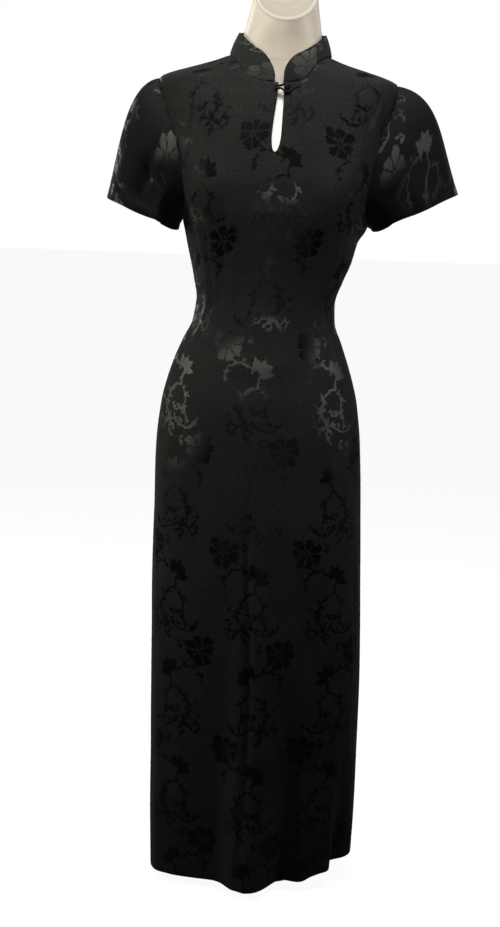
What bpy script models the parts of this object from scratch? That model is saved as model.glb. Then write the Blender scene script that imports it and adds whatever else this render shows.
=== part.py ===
# Maxi dress with a stand collar, standing on a limbless dress form.
# Metres, +Z up, the front faces -Y, and +X is the wearer's left.
# The origin lies on the underside of the stand's base, below the middle of the dress.
#
# All the cloth is cut from one surface round the figure. A point on it is given by its
# turn round the figure, in degrees (0 front, 90 the side seam at +X, 180 back), and its
# height. The panels, the collar and the form are that surface moved in or out.
import math

import bmesh
import bpy
import numpy as np
from mathutils import Vector

# Driving dimensions
WALL = 0.0015            # cloth with its seam allowances and hems
SEAM_GAP = 0.0004        # between two pieces where they are sewn
HEM_HEIGHT = 0.016       # lowest hem above the floor, at the wearer's right
NECK_FRONT = 1.367       # neck seam at the front
NECK_SIDE = 1.412        # neck seam at the shoulder seam
NECK_BACK = 1.430        # neck seam at the centre back
NECK_HALF = 0.083        # half the width of the neck seam
UNDERARM = 1.145
SHOULDER_TIP = 1.372

# The line of the cloth: height, half width, depth to the front and to the back, how
# square the section is (2 is an ellipse), the room between the cloth and the form, and
# how far the section stands to the side, because the hips swing a little.
SECTION_COLUMNS = ("height", "half_width", "front", "back", "square", "room", "sway")
SECTIONS = [
    (0.000, 0.177, 0.080, 0.116, 2.50, 0.010, 0.002),
    (0.133, 0.180, 0.092, 0.120, 2.50, 0.010, 0.002),
    (0.355, 0.1815, 0.104, 0.123, 2.45, 0.010, 0.000),
    (0.571, 0.179, 0.110, 0.125, 2.40, 0.010, -0.005),
    (0.676, 0.176, 0.112, 0.127, 2.35, 0.009, -0.007),
    (0.780, 0.172, 0.112, 0.129, 2.30, 0.006, -0.009),
    (0.849, 0.164, 0.109, 0.124, 2.25, 0.004, -0.010),
    (0.883, 0.156, 0.105, 0.118, 2.20, 0.004, -0.010),
    (0.917, 0.145, 0.100, 0.111, 2.20, 0.005, -0.010),
    (0.950, 0.132, 0.095, 0.103, 2.15, 0.006, -0.009),
    (0.984, 0.118, 0.091, 0.096, 2.15, 0.007, -0.007),
    (1.017, 0.1155, 0.089, 0.092, 2.15, 0.007, -0.005),
    (1.051, 0.124, 0.092, 0.092, 2.15, 0.006, -0.002),
    (1.087, 0.135, 0.099, 0.095, 2.20, 0.005, 0.001),
    (1.127, 0.144, 0.108, 0.100, 2.25, 0.004, 0.001),
    (1.165, 0.152, 0.113, 0.104, 2.35, 0.006, 0.000),
    (1.205, 0.162, 0.113, 0.107, 2.45, 0.003, 0.000),
    (1.255, 0.172, 0.106, 0.109, 2.50, 0.002, 0.001),
    (1.305, 0.182, 0.093, 0.107, 2.55, 0.003, 0.002),
    (1.345, 0.191, 0.079, 0.099, 2.60, 0.0050, 0.003),
    (1.362, 0.194, 0.071, 0.091, 2.60, 0.0055, 0.003),
    (1.372, 0.193, 0.067, 0.086, 2.55, 0.0045, 0.003),
    (1.380, 0.179, 0.064, 0.082, 2.40, 0.0035, 0.003),
    (1.388, 0.154, 0.062, 0.079, 2.20, 0.0035, 0.004),
    (1.397, 0.123, 0.060, 0.076, 2.05, 0.0035, 0.004),
    (1.405, 0.098, 0.0585, 0.073, 2.00, 0.0035, 0.004),
    (1.412, 0.083, 0.0575, 0.071, 2.00, 0.0035, 0.005),
    (1.425, 0.0745, 0.0565, 0.068, 2.00, 0.0035, 0.006),
    (1.447, 0.0675, 0.0560, 0.065, 2.00, 0.001, 0.007),
    (1.470, 0.0620, 0.0550, 0.063, 2.00, 0.001, 0.007),
    (1.504, 0.0575, 0.0540, 0.061, 2.00, 0.001, 0.007),
    (1.600, 0.0550, 0.0530, 0.060, 2.00, 0.001, 0.007),
]

# Soft ridges and hollows of the cloth: the turn at the upper and at the lower end, the
# heights of both ends, the width in degrees, and the rise at each end (hollows below 0).
FOLD_COLUMNS = ("turn_up", "turn_low", "up", "low", "width", "rise_up", "rise_low")
FOLDS = [
    (-3, -1.5, 0.62, 0.00, 8, 0.000, 0.045),     # ridge down the middle of the skirt
    (15, 14, 0.40, 0.00, 6, 0.000, -0.010),
    (24, 23, 0.34, 0.00, 6, 0.000, 0.011),
    (46, 45, 0.30, 0.00, 5, 0.000, 0.005),
    (57, 58, 0.26, 0.00, 9, 0.000, -0.024),      # the hem steps back here
    (-26, -28, 0.48, 0.00, 12, 0.000, -0.003),
    (-60, -64, 0.52, 0.00, 9, 0.000, 0.004),
    (122, 126, 0.60, 0.00, 11, 0.000, -0.010),
    (150, 152, 0.66, 0.00, 10, 0.000, 0.012),
    (-128, -132, 0.55, 0.00, 12, 0.000, -0.009),
    (-156, -158, 0.60, 0.00, 10, 0.000, 0.012),
    (72, 76, 0.98, 0.62, 8, 0.004, 0.000),
    (-74, -78, 0.96, 0.60, 8, 0.003, 0.000),
    (0, 0, 1.13, 0.92, 22, 0.000, 0.004),
]

# Two low rounds at the bust, and the shoulder blades: turn, height, both spreads, rise.
ROUND_COLUMNS = ("turn", "height", "spread_turn", "spread_height", "rise")
ROUNDS = [
    (34, 1.195, 19, 0.060, 0.013),
    (-34, 1.195, 19, 0.060, 0.013),
    (148, 1.270, 22, 0.070, 0.005),
    (-148, 1.270, 22, 0.070, 0.005),
]

# Fisheye darts: distance from the middle, both ends, half width of the crease, depth.
DART_COLUMNS = ("middle", "up", "low", "half_width", "depth")
DARTS = [
    (0.076, 1.190, 0.965, 0.010, 0.0016),
    (-0.076, 1.190, 0.965, 0.010, 0.0016),
]
BACK_DARTS = [
    (0.070, 1.220, 0.900, 0.010, 0.0016),
    (-0.070, 1.220, 0.900, 0.010, 0.0016),
]

# Rows of the grid up a side seam: from, to and the number of steps.
ROW_BANDS = [
    ("skirt", HEM_HEIGHT, 0.68, 8),
    ("hip", 0.68, 0.93, 7),
    ("waist", 0.93, UNDERARM, 7),
    ("armhole", UNDERARM, SHOULDER_TIP, 8),
    ("shoulder", SHOULDER_TIP, NECK_SIDE, 5),
]
FRONT_COLUMNS = 34
BACK_COLUMNS = 13
HEM_LIFT = 0.037         # how much higher the hem hangs at the wearer's left
ARMHOLE_BITE = 30.0      # degrees that the front armhole cuts into the panel
ARMHOLE_BITE_BACK = 22.0
ARMHOLE_LOWER = 0.72     # below 1 the armhole is widest under its middle height
ARMHOLE_ROUND = 0.6      # below 1 its ends are rounder
NECK_GATHER = 0.80       # share of the length above which the grid turns to the neck seam

# Keyhole: half width at the neck, at its widest and its round end
KEYHOLE_TOP_HALF = 0.0035
KEYHOLE_WIDE_HALF = 0.0072
KEYHOLE_LOW = 1.257
KEYHOLE_WIDEST = 1.285
KEYHOLE_TOP_MIDDLE = 0.004
KEYHOLE_LOW_MIDDLE = -0.003
KEYHOLE_SPREAD = 5       # columns over which the grid makes room for it
KEYHOLE_FADE = 0.12      # below it, the grid's middle column comes back to the middle

COLLAR_FRONT_HEIGHT = 0.041
COLLAR_SIDE_HEIGHT = 0.036
COLLAR_BACK_HEIGHT = 0.034
COLLAR_TOP_HALF = 0.0705
COLLAR_STAND_OFF = 0.0022
COLLAR_OPENING_HALF = 0.0075
COLLAR_CORNER = 0.019
COLLAR_SWELL = 0.0012
COLLAR_LENGTH = 0.465    # round the neck seam
COLLAR_COLUMNS = 28
COLLAR_ROWS = 4

# Sleeves: the cuff's outer and inner end seen from the front, half its depth, the outward
# slope of the outer edge, and how far the sleeve head stands out before it falls
SLEEVE_COLUMNS = ("name", "side", "outer_x", "outer_z", "inner_x", "inner_z", "half_depth",
                  "flare", "head")
SLEEVES = [
    ("sleeve_left", 1, 0.302, 1.203, 0.168, 1.136, 0.079, 0.38, 1.15),
    ("sleeve_right", -1, 0.272, 1.178, 0.155, 1.128, 0.079, 0.23, 0.8),
]
SLEEVE_GAP = 0.0007       # clear of the thickness of the panels' edges
LEAVE_UNDERARM = np.array([0.55, 0.35, -0.35])   # outward, to front or back, up
LEAVE_HEAD = np.array([1.00, 0.35, -0.12])
ARRIVE = (0.10, -0.95)    # to front or back, up
CUFF_WAVE = 0.0035        # the cuff's edge in three long waves
CUFF_RIPPLE = 0.0020      # and five short ones
SLEEVE_FOLD = 0.0025      # soft folds down the sleeve
SLEEVE_RING = 26
SLEEVE_STEPS = 8

BUTTON_RADIUS = 0.0048
LOOP_RADIUS = 0.0011
BUTTON_X = 0.0155
BUTTON_Z = 1.3615
TAB_LENGTH = 0.013
TAB_RISE = 0.005
LOOP_END_X = -0.0125
LOOP_END_APART = 0.0016  # half the distance between the loop's two strands at their ends
LOOP_LIFT = 0.0006

FORM_BOTTOM = 0.700
FORM_FOOT_EDGE = 0.006
FORM_FOOT_SHARE = 0.94    # of the lowest ring, at the flat underside
FORM_RING = 32
NECK_CUT_FRONT = 1.4665   # lowest point of the slanted cut, at the throat
NECK_CUT_SLOPE = math.radians(42)
NECK_CUT_START = 1.447    # the sections begin to lean here
NECK_TAPER = 0.955        # the neck still narrows up to the cut
FORM_BANDS = [            # rings of the form: from, to and the number of steps
    (FORM_BOTTOM + FORM_FOOT_EDGE, 0.93, 6),
    (0.93, 1.13, 7),
    (1.13, 1.36, 8),
    (1.36, 1.415, 7),
    (1.415, NECK_CUT_START, 2),
]
NECK_SHARES = (0.35, 0.7, 1.0)    # rings between the last upright one and the cut
CAP_THICKNESS = 0.006
CAP_RIM = 0.005
CAP_INSET = 0.0012

POLE_RADIUS = 0.0125
STAND_Y = 0.036
BASE_HALF_X = 0.114
BASE_HALF_Y = 0.088
BASE_THICKNESS = 0.010
SOCKET_RADIUS = 0.024
SOCKET_HEIGHT = 0.040
FIT_GAP = 0.0003

CLOTH_COLOUR = (0.0105, 0.0105, 0.0095, 1)
COLLAR_COLOUR = (0.0120, 0.0120, 0.0108, 1)
KNOT_COLOUR = (0.0085, 0.0085, 0.0078, 1)
FORM_COLOUR = (0.70, 0.62, 0.48, 1)
CAP_COLOUR = (0.78, 0.72, 0.60, 1)
STEEL_COLOUR = (0.55, 0.55, 0.56, 1)


def read_table(columns, rows):
    # One array for each named column.
    return {name: np.array([row[i] for row in rows]) for i, name in enumerate(columns)}


SECTION = read_table(SECTION_COLUMNS, SECTIONS)


def smooth_value(height, column):
    # Cubic through the table's rows, with slopes that never overshoot a row.
    xs, ys = SECTION["height"], SECTION[column]
    steps = np.diff(ys) / np.diff(xs)
    before, after = steps[:-1], steps[1:]
    slopes = np.zeros(len(xs))
    same_way = before * after > 0
    middle = 2 * before[same_way] * after[same_way] / (before[same_way] + after[same_way])
    slopes[1:-1][same_way] = middle
    slopes[0], slopes[-1] = steps[0], steps[-1]
    h = np.clip(np.asarray(height, float), xs[0], xs[-1])
    i = np.clip(np.searchsorted(xs, h, side="right") - 1, 0, len(xs) - 2)
    width = xs[i + 1] - xs[i]
    t = (h - xs[i]) / width
    return ((2 * t**3 - 3 * t**2 + 1) * ys[i] + (t**3 - 2 * t**2 + t) * width * slopes[i]
            + (3 * t**2 - 2 * t**3) * ys[i + 1] + (t**3 - t**2) * width * slopes[i + 1])


def ease_in_out(t):
    t = np.clip(t, 0, 1)
    return t * t * (3 - 2 * t)


def signed_power(value, power):
    return np.sign(value) * np.abs(value) ** power


def turn_apart(turn, middle):
    # Degrees between two turns, the short way round.
    return (turn - middle + 180) % 360 - 180


def rise_of_folds(turn, height):
    folds = read_table(FOLD_COLUMNS, FOLDS)
    rise = np.zeros(np.broadcast(turn, height).shape)
    for i in range(len(FOLDS)):
        along = (folds["up"][i] - height) / (folds["up"][i] - folds["low"][i])
        inside = ease_in_out(np.minimum(along, 1 - along) * 6 + 1)
        share = np.clip(along, 0, 1)
        middle = folds["turn_up"][i] + (folds["turn_low"][i] - folds["turn_up"][i]) * share
        size = folds["rise_up"][i] + (folds["rise_low"][i] - folds["rise_up"][i]) * share**1.4
        bell = np.exp(-(turn_apart(turn, middle) / folds["width"][i]) ** 2)
        rise += size * bell * inside
    return rise


def rise_of_rounds(turn, height):
    rounds = read_table(ROUND_COLUMNS, ROUNDS)
    rise = np.zeros(np.broadcast(turn, height).shape)
    for i in range(len(ROUNDS)):
        across = turn_apart(turn, rounds["turn"][i]) / rounds["spread_turn"][i]
        up = (height - rounds["height"][i]) / rounds["spread_height"][i]
        rise += rounds["rise"][i] * np.exp(-across**2 - up**2)
    return rise


def rise_of_darts(x, front, height):
    # A dart is a narrow crease, deepest between its two points.
    rise = np.zeros(np.broadcast(x, height).shape)
    for table, wanted in ((DARTS, True), (BACK_DARTS, False)):
        darts = read_table(DART_COLUMNS, table)
        for i in range(len(table)):
            along = (darts["up"][i] - height) / (darts["up"][i] - darts["low"][i])
            depth = darts["depth"][i] * np.sqrt(np.clip(4 * along * (1 - along), 0, 1))
            bell = np.exp(-((x - darts["middle"][i]) / darts["half_width"][i]) ** 2)
            rise -= np.where(front == wanted, depth * bell, 0)
    return rise


def figure_point(turn, height, folded=True):
    # The cloth's outer face, without and with its folds.
    turn, height = np.broadcast_arrays(np.asarray(turn, float), np.asarray(height, float))
    angle = np.radians(turn)
    power = 2 / smooth_value(height, "square")
    depth = np.where(np.cos(angle) > 0, smooth_value(height, "front"), smooth_value(height, "back"))
    x = smooth_value(height, "half_width") * signed_power(np.sin(angle), power)
    y = -depth * signed_power(np.cos(angle), power)
    rise = rise_of_rounds(turn, height)
    if folded:
        rise = rise + rise_of_folds(turn, height) + rise_of_darts(x, np.cos(angle) > 0, height)
    x = x + smooth_value(height, "sway")
    return np.stack([x + rise * np.sin(angle), y - rise * np.cos(angle), height], axis=-1)


def surface_normal(turn, height, folded=True):
    # Unit vector away from the figure, from the slopes both ways.
    turn_step, height_step = 0.4, 0.0006
    around = (figure_point(turn + turn_step, height, folded)
              - figure_point(turn - turn_step, height, folded))
    upward = (figure_point(turn, height + height_step, folded)
              - figure_point(turn, height - height_step, folded))
    normal = np.cross(around, upward)
    return normal / np.linalg.norm(normal, axis=-1, keepdims=True)


def add_object(name, mesh, colour, roughness, metallic=0.0):
    material = bpy.data.materials.new(name + "_material")
    material.use_nodes = True
    shader = material.node_tree.nodes["Principled BSDF"]
    shader.inputs["Base Color"].default_value = colour
    shader.inputs["Roughness"].default_value = roughness
    shader.inputs["Metallic"].default_value = metallic
    mesh.materials.append(material)
    thing = bpy.data.objects.new(name, mesh)
    bpy.context.collection.objects.link(thing)
    return thing


def mesh_from(name, points, faces, smooth_angle=40):
    mesh = bpy.data.meshes.new(name)
    mesh.from_pydata([tuple(p) for p in points], [], faces)
    work = bmesh.new()
    work.from_mesh(mesh)
    bmesh.ops.recalc_face_normals(work, faces=work.faces)
    work.to_mesh(mesh)
    work.free()
    mesh.shade_smooth()
    mesh.set_sharp_from_angle(angle=math.radians(smooth_angle))
    return mesh


def wall_mesh(name, outer, inner, faces):
    # A closed wall: the outer faces, the same faces inside, and a strip along each edge.
    edges = {}
    for face in faces:
        for a, b in zip(face, face[1:] + face[:1]):
            edges[(a, b)] = edges.get((a, b), 0) + 1
    rim = [(a, b) for a, b in edges if (b, a) not in edges]
    used = sorted({v for face in faces for v in face})
    place = {v: i for i, v in enumerate(used)}
    offset = len(used)
    points = [outer[v] for v in used] + [inner[v] for v in used]
    out = [tuple(place[v] for v in face) for face in faces]
    inside = [tuple(place[v] + offset for v in reversed(face)) for face in faces]
    strip = [(place[b], place[a], place[a] + offset, place[b] + offset) for a, b in rim]
    return mesh_from(name, points, out + inside + strip)


def grid_faces(rows, columns, closed=False):
    # Four-sided faces of a grid that is numbered row by row.
    last = columns if closed else columns - 1
    return [(r * columns + c, r * columns + (c + 1) % columns,
             (r + 1) * columns + (c + 1) % columns, (r + 1) * columns + c)
            for r in range(rows - 1) for c in range(last)]


def row_heights():
    heights = [ROW_BANDS[0][1]]
    for _, low, high, steps in ROW_BANDS:
        heights += [low + (high - low) * (i + 1) / steps for i in range(steps)]
    return np.array(heights)


def armhole_share(height, bite):
    # Share of the half panel that is left beside the armhole, 1 at both its ends.
    along = np.clip((height - UNDERARM) / (SHOULDER_TIP - UNDERARM), 0, 1)
    scoop = np.sin(math.pi * along**ARMHOLE_LOWER) ** ARMHOLE_ROUND
    return 1 - bite / 90 * scoop


def neck_seam(angle_degrees):
    # Turn and height on the figure of a point on the neck seam.
    angle = np.radians(angle_degrees)
    in_front = np.cos(angle) > 0
    end = np.where(in_front, NECK_FRONT, NECK_BACK)
    height = NECK_SIDE + (end - NECK_SIDE) * np.cos(angle) ** 2
    x = NECK_HALF * np.sin(angle)
    ratio = np.clip(x / smooth_value(height, "half_width"), -1, 1)
    turn = np.degrees(np.arcsin(ratio))
    return np.where(in_front, turn, np.sign(angle_degrees) * 180 - turn), height


def hem_height(turn):
    return HEM_HEIGHT + HEM_LIFT * np.maximum(np.sin(np.radians(turn)), 0) ** 2


def panel_grid(first, last, columns, bite):
    # Turn and height of each grid point: even round the hem, and along the neck seam on top.
    side = row_heights()[:, None]
    share = (side - HEM_HEIGHT) / (NECK_SIDE - HEM_HEIGHT)
    low_turn = np.linspace(first, last, columns)[None, :]
    neck_turn, neck_height = neck_seam(low_turn)
    hem = hem_height(low_turn)
    gather = ease_in_out((share - NECK_GATHER) / (1 - NECK_GATHER))
    turn = low_turn + (neck_turn - low_turn) * gather
    middle = 0 if abs(first + last) < 1 else 180 * np.sign(first + last)
    turn = middle + (turn - middle) * armhole_share(side, bite)
    height = hem + (neck_height - hem) * share
    return turn, height


def keyhole(height):
    # Middle and half width of the slit at a height, 0 below its round end.
    up = np.clip((height - KEYHOLE_LOW) / (KEYHOLE_WIDEST - KEYHOLE_LOW), 0, 1)
    bulb = KEYHOLE_WIDE_HALF * np.sqrt(1 - (1 - up) ** 2)
    above = ease_in_out((height - KEYHOLE_WIDEST) / (NECK_FRONT - KEYHOLE_WIDEST))
    half = bulb + (KEYHOLE_TOP_HALF - KEYHOLE_WIDE_HALF) * above
    lean = np.clip((height - KEYHOLE_LOW) / (NECK_FRONT - KEYHOLE_LOW), 0, 1)
    return KEYHOLE_LOW_MIDDLE + (KEYHOLE_TOP_MIDDLE - KEYHOLE_LOW_MIDDLE) * lean, half


def move_sideways(turn, height, shift):
    # The turn of a point of the front that is moved sideways by shift metres.
    power = 2 / smooth_value(height, "square")
    reach = smooth_value(height, "half_width")
    x = signed_power(np.sin(np.radians(turn)), power) * reach + shift
    return np.degrees(np.arcsin(np.clip(signed_power(x / reach, 1 / power), -1, 1)))


def cut_cloth(turn, height, shift):
    outer = figure_point(turn, height) + np.array(shift)
    inner = outer - WALL * surface_normal(turn, height)
    return outer.reshape(-1, 3), inner.reshape(-1, 3)


def make_front():
    # One piece. Above the keyhole's round end the middle column is doubled.
    turn, height = panel_grid(-90, 90, FRONT_COLUMNS + 1, ARMHOLE_BITE)
    middle = FRONT_COLUMNS // 2
    column = np.arange(FRONT_COLUMNS + 1)
    near = np.clip(1 - np.abs(column - middle) / KEYHOLE_SPREAD, 0, 1)[None, :]
    axis, half = keyhole(height)
    fade = ease_in_out((height - KEYHOLE_LOW + KEYHOLE_FADE) / KEYHOLE_FADE)
    right_edge = move_sideways(turn, height, near * (axis * fade - half))
    left_edge = move_sideways(turn, height, near * (axis * fade + half))
    rows = turn.shape[0]
    all_turns = np.hstack([np.where(column <= middle, right_edge, left_edge),
                           left_edge[:, middle:middle + 1]])
    all_heights = np.hstack([height, height[:, middle:middle + 1]])
    outer, inner = cut_cloth(all_turns, all_heights, (0, -SEAM_GAP / 2, 0))
    width = FRONT_COLUMNS + 2
    split = height[:, middle] > KEYHOLE_LOW + 0.0005
    faces = []
    for r in range(rows - 1):
        for c in range(FRONT_COLUMNS):
            low = width - 1 if c == middle and split[r] else c
            high = width - 1 if c == middle and split[r + 1] else c
            faces.append((r * width + low, r * width + c + 1,
                          (r + 1) * width + c + 1, (r + 1) * width + high))
    add_object("front_panel", wall_mesh("front_panel", outer, inner, faces), CLOTH_COLOUR, 0.75)


def make_back(name, side):
    ends = (90, 180) if side > 0 else (-180, -90)
    turn, height = panel_grid(ends[0], ends[1], BACK_COLUMNS + 1, ARMHOLE_BITE_BACK)
    outer, inner = cut_cloth(turn, height, (side * SEAM_GAP / 2, SEAM_GAP / 2, 0))
    faces = grid_faces(turn.shape[0], BACK_COLUMNS + 1)
    add_object(name, wall_mesh(name, outer, inner, faces), CLOTH_COLOUR, 0.75)


def armhole_ring(side):
    # Points round the armhole, from the underarm up the front and down the back.
    around = np.arange(SLEEVE_RING) * 2 * math.pi / SLEEVE_RING
    rise = (1 - np.cos(around)) / 2
    height = UNDERARM + (SHOULDER_TIP - UNDERARM) * rise
    in_front = around < math.pi
    bite = np.where(in_front, ARMHOLE_BITE, ARMHOLE_BITE_BACK)
    share = armhole_share(height, bite)
    turn = np.where(in_front, 90 * share, 180 - 90 * share) * side
    points = figure_point(turn, height)
    points[:, 1] += np.where(in_front, -1, 1) * SEAM_GAP / 2
    return around, rise, points


def make_sleeve(row):
    sleeve = dict(zip(SLEEVE_COLUMNS, row))
    side = sleeve["side"]
    around, rise, start = armhole_ring(side)
    outer_end = np.array([side * sleeve["outer_x"], 0.0, sleeve["outer_z"]])
    inner_end = np.array([side * sleeve["inner_x"], 0.0, sleeve["inner_z"]])
    middle, half = (outer_end + inner_end) / 2, (inner_end - outer_end) / 2
    depth = -np.sin(around)[:, None] * np.array([0, sleeve["half_depth"], 0])
    front_back = -np.sin(around)
    wave = CUFF_WAVE * np.sin(3 * around + 0.6) + CUFF_RIPPLE * np.sin(5 * around)
    wave_way = np.stack([side + 0 * around, front_back, 0 * around], axis=-1)
    cuff = middle + np.cos(around)[:, None] * half + depth + wave[:, None] * wave_way
    span = np.linalg.norm(cuff - start, axis=1, keepdims=True)
    ways = np.stack([side + 0 * rise, front_back, 1 + 0 * rise], axis=-1)
    leave = (LEAVE_UNDERARM + (LEAVE_HEAD - LEAVE_UNDERARM) * rise[:, None]) * ways
    leave /= np.linalg.norm(leave, axis=1, keepdims=True)
    arrive = np.array([sleeve["flare"], *ARRIVE]) * ways
    arrive /= np.linalg.norm(arrive, axis=1, keepdims=True)
    start = start + leave * SLEEVE_GAP
    leave = leave * (1 + (sleeve["head"] - 1) * rise[:, None] ** 2)
    arrive = arrive * (1 + 0.4 * rise[:, None] ** 2)
    rings = []
    for step in range(SLEEVE_STEPS + 1):
        t = step / SLEEVE_STEPS
        point = ((2 * t**3 - 3 * t**2 + 1) * start + (t**3 - 2 * t**2 + t) * span * leave
                 + (3 * t**2 - 2 * t**3) * cuff + (t**3 - t**2) * span * arrive)
        fold = SLEEVE_FOLD * np.sin(4 * around + 1.1) * ease_in_out(t) * (1 - 0.4 * t)
        point = point + fold[:, None] * np.stack([side * rise, front_back, 0 * rise], axis=-1)
        rings.append(point)
    outer = np.array(rings)
    along = np.gradient(outer, axis=0)
    across = np.roll(outer, -1, axis=1) - np.roll(outer, 1, axis=1)
    normal = side * np.cross(along, across)
    normal /= np.linalg.norm(normal, axis=2, keepdims=True)
    inner = outer - WALL * normal
    faces = grid_faces(SLEEVE_STEPS + 1, SLEEVE_RING, closed=True)
    mesh = wall_mesh(sleeve["name"], outer.reshape(-1, 3), inner.reshape(-1, 3), faces)
    add_object(sleeve["name"], mesh, CLOTH_COLOUR, 0.70)


def make_collar():
    # From the front end at +X round the back to the front end at -X.
    base_start = math.degrees(math.asin(COLLAR_OPENING_HALF / NECK_HALF))
    top_start = math.degrees(math.asin(COLLAR_OPENING_HALF / COLLAR_TOP_HALF))
    share = np.linspace(0, 1, COLLAR_COLUMNS + 1)
    base_angle = base_start + (360 - 2 * base_start) * share
    top_angle = top_start + (360 - 2 * top_start) * share
    base_angle = np.where(base_angle > 180, base_angle - 360, base_angle)
    top_angle = np.where(top_angle > 180, top_angle - 360, top_angle)
    base_turn, base_height = neck_seam(base_angle)
    base = figure_point(base_turn, base_height, folded=False)
    top = np.radians(top_angle)
    in_front = np.cos(top) > 0
    end_height = np.where(in_front, NECK_FRONT + COLLAR_FRONT_HEIGHT, NECK_BACK + COLLAR_BACK_HEIGHT)
    side_height = NECK_SIDE + COLLAR_SIDE_HEIGHT
    top_height = side_height + (end_height - side_height) * np.cos(top) ** 2
    depth = np.where(in_front, smooth_value(top_height, "front"), smooth_value(top_height, "back"))
    peak_x = COLLAR_TOP_HALF * np.sin(top) + smooth_value(top_height, "sway")
    peak = np.stack([peak_x, -(depth + COLLAR_STAND_OFF) * np.cos(top), top_height], axis=-1)
    from_end = np.minimum(share, 1 - share) * COLLAR_LENGTH
    corner = np.clip(from_end / COLLAR_CORNER, 0, 1)
    full = np.linalg.norm(peak - base, axis=1)
    reach = 1 - COLLAR_CORNER * (1 - np.sqrt(1 - (1 - corner) ** 2)) / full
    gap = SEAM_GAP / full
    rows = []
    for r in range(COLLAR_ROWS + 1):
        up = (gap + (reach - gap) * r / COLLAR_ROWS)[:, None]
        swell = COLLAR_SWELL * np.sin(math.pi * up)
        outward = np.stack([np.sin(top), -np.cos(top), 0 * top], axis=-1)
        rows.append(base + (peak - base) * up + swell * outward)
    outer = np.array(rows)
    upward = np.gradient(outer, axis=0)
    around = np.gradient(outer, axis=1)
    normal = np.cross(around, upward)
    normal /= np.linalg.norm(normal, axis=2, keepdims=True)
    inner = outer - WALL * normal
    faces = grid_faces(COLLAR_ROWS + 1, COLLAR_COLUMNS + 1)
    mesh = wall_mesh("collar", outer.reshape(-1, 3), inner.reshape(-1, 3), faces)
    add_object("collar", mesh, COLLAR_COLOUR, 0.55)


def tube_mesh(name, route, radius, sides=10):
    # A round cord along a route, with a rounded cap on each end.
    route = np.array(route)
    heading = np.gradient(route, axis=0)
    heading /= np.linalg.norm(heading, axis=1, keepdims=True)
    aside = np.cross(heading, np.array([0.0, 1.0, 0.0]))
    aside /= np.linalg.norm(aside, axis=1, keepdims=True)
    upright = np.cross(aside, heading)
    turns = np.arange(sides) * 2 * math.pi / sides
    points = []
    last = len(route) - 1
    for i, centre in enumerate(route):
        size = radius * (0.6 if i in (0, last) else 1)
        points += [centre + size * (math.cos(a) * aside[i] + math.sin(a) * upright[i]) for a in turns]
    faces = grid_faces(len(route), sides, closed=True)
    faces.append(tuple(reversed(range(sides))))
    faces.append(tuple(last * sides + i for i in range(sides)))
    return mesh_from(name, points, faces, 60)


def chest_point(x, height, away):
    # A point a little above the cloth of the front, at a distance from the middle.
    turn = move_sideways(np.array(0.0), np.array(height), x)
    point = figure_point(turn, height) + away * surface_normal(turn, height)
    return point + np.array([0, -SEAM_GAP / 2, 0])


def make_fastening():
    # A ball button with a short tab on one side of the slit, and a loop from the other.
    away = BUTTON_RADIUS + FIT_GAP
    centre = chest_point(BUTTON_X, BUTTON_Z, away)
    work = bmesh.new()
    bmesh.ops.create_uvsphere(work, u_segments=16, v_segments=10, radius=BUTTON_RADIUS)
    bmesh.ops.translate(work, vec=Vector(centre), verts=work.verts)
    mesh = bpy.data.meshes.new("button")
    work.to_mesh(mesh)
    work.free()
    mesh.shade_smooth()
    add_object("button", mesh, KNOT_COLOUR, 0.6)

    low = LOOP_RADIUS + FIT_GAP
    tab_start = BUTTON_X + BUTTON_RADIUS + 2 * LOOP_RADIUS + 3 * FIT_GAP
    tab = [chest_point(tab_start + TAB_LENGTH * s, BUTTON_Z + TAB_RISE * s, low)
           for s in np.linspace(0, 1, 6)]
    add_object("button_tab", tube_mesh("button_tab", tab, LOOP_RADIUS), KNOT_COLOUR, 0.6)

    ring = BUTTON_RADIUS + LOOP_RADIUS + FIT_GAP
    strand = np.linspace(0, 1, 9)
    strand_x = LOOP_END_X + (BUTTON_X - LOOP_END_X) * strand
    strand_z = LOOP_END_APART + (ring - LOOP_END_APART) * ease_in_out(strand)
    swing = np.linspace(0, math.pi, 12)[1:-1]
    loop_x = np.concatenate([strand_x, BUTTON_X + ring * np.sin(swing), strand_x[::-1]])
    loop_z = np.concatenate([strand_z, ring * np.cos(swing), -strand_z[::-1]])
    loop = [chest_point(x, BUTTON_Z + z, low + LOOP_LIFT) for x, z in zip(loop_x, loop_z)]
    add_object("button_loop", tube_mesh("button_loop", loop, LOOP_RADIUS, 8), KNOT_COLOUR, 0.6)


def form_section(height, turn):
    # The cloth's line without its folds, moved in past the wall and the room.
    gap = WALL + float(smooth_value(height, "room"))
    return figure_point(turn, height, False) - gap * surface_normal(turn, height, False)


def neck_ring(turn, out=0.0, lift=0.0):
    # Oval on the slanted cut through the neck, moved in or out and along the cut's normal.
    inward = WALL + float(smooth_value(NECK_CUT_FRONT, "room")) - out
    half = NECK_TAPER * float(smooth_value(NECK_CUT_FRONT, "half_width")) - inward
    front = float(smooth_value(NECK_CUT_FRONT, "front")) - inward
    back = NECK_TAPER * float(smooth_value(NECK_CUT_FRONT, "back")) - inward
    angle = np.radians(turn)
    depth = np.where(np.cos(angle) > 0, front, back)
    y = -depth * np.cos(angle)
    slope = math.tan(NECK_CUT_SLOPE)
    z = NECK_CUT_FRONT + (y + front - out) * slope
    across = np.array([0, -math.sin(NECK_CUT_SLOPE), math.cos(NECK_CUT_SLOPE)])
    x = half * np.sin(angle) + float(smooth_value(NECK_CUT_FRONT, "sway"))
    return np.stack([x, y, z], axis=-1) + lift * across


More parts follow.
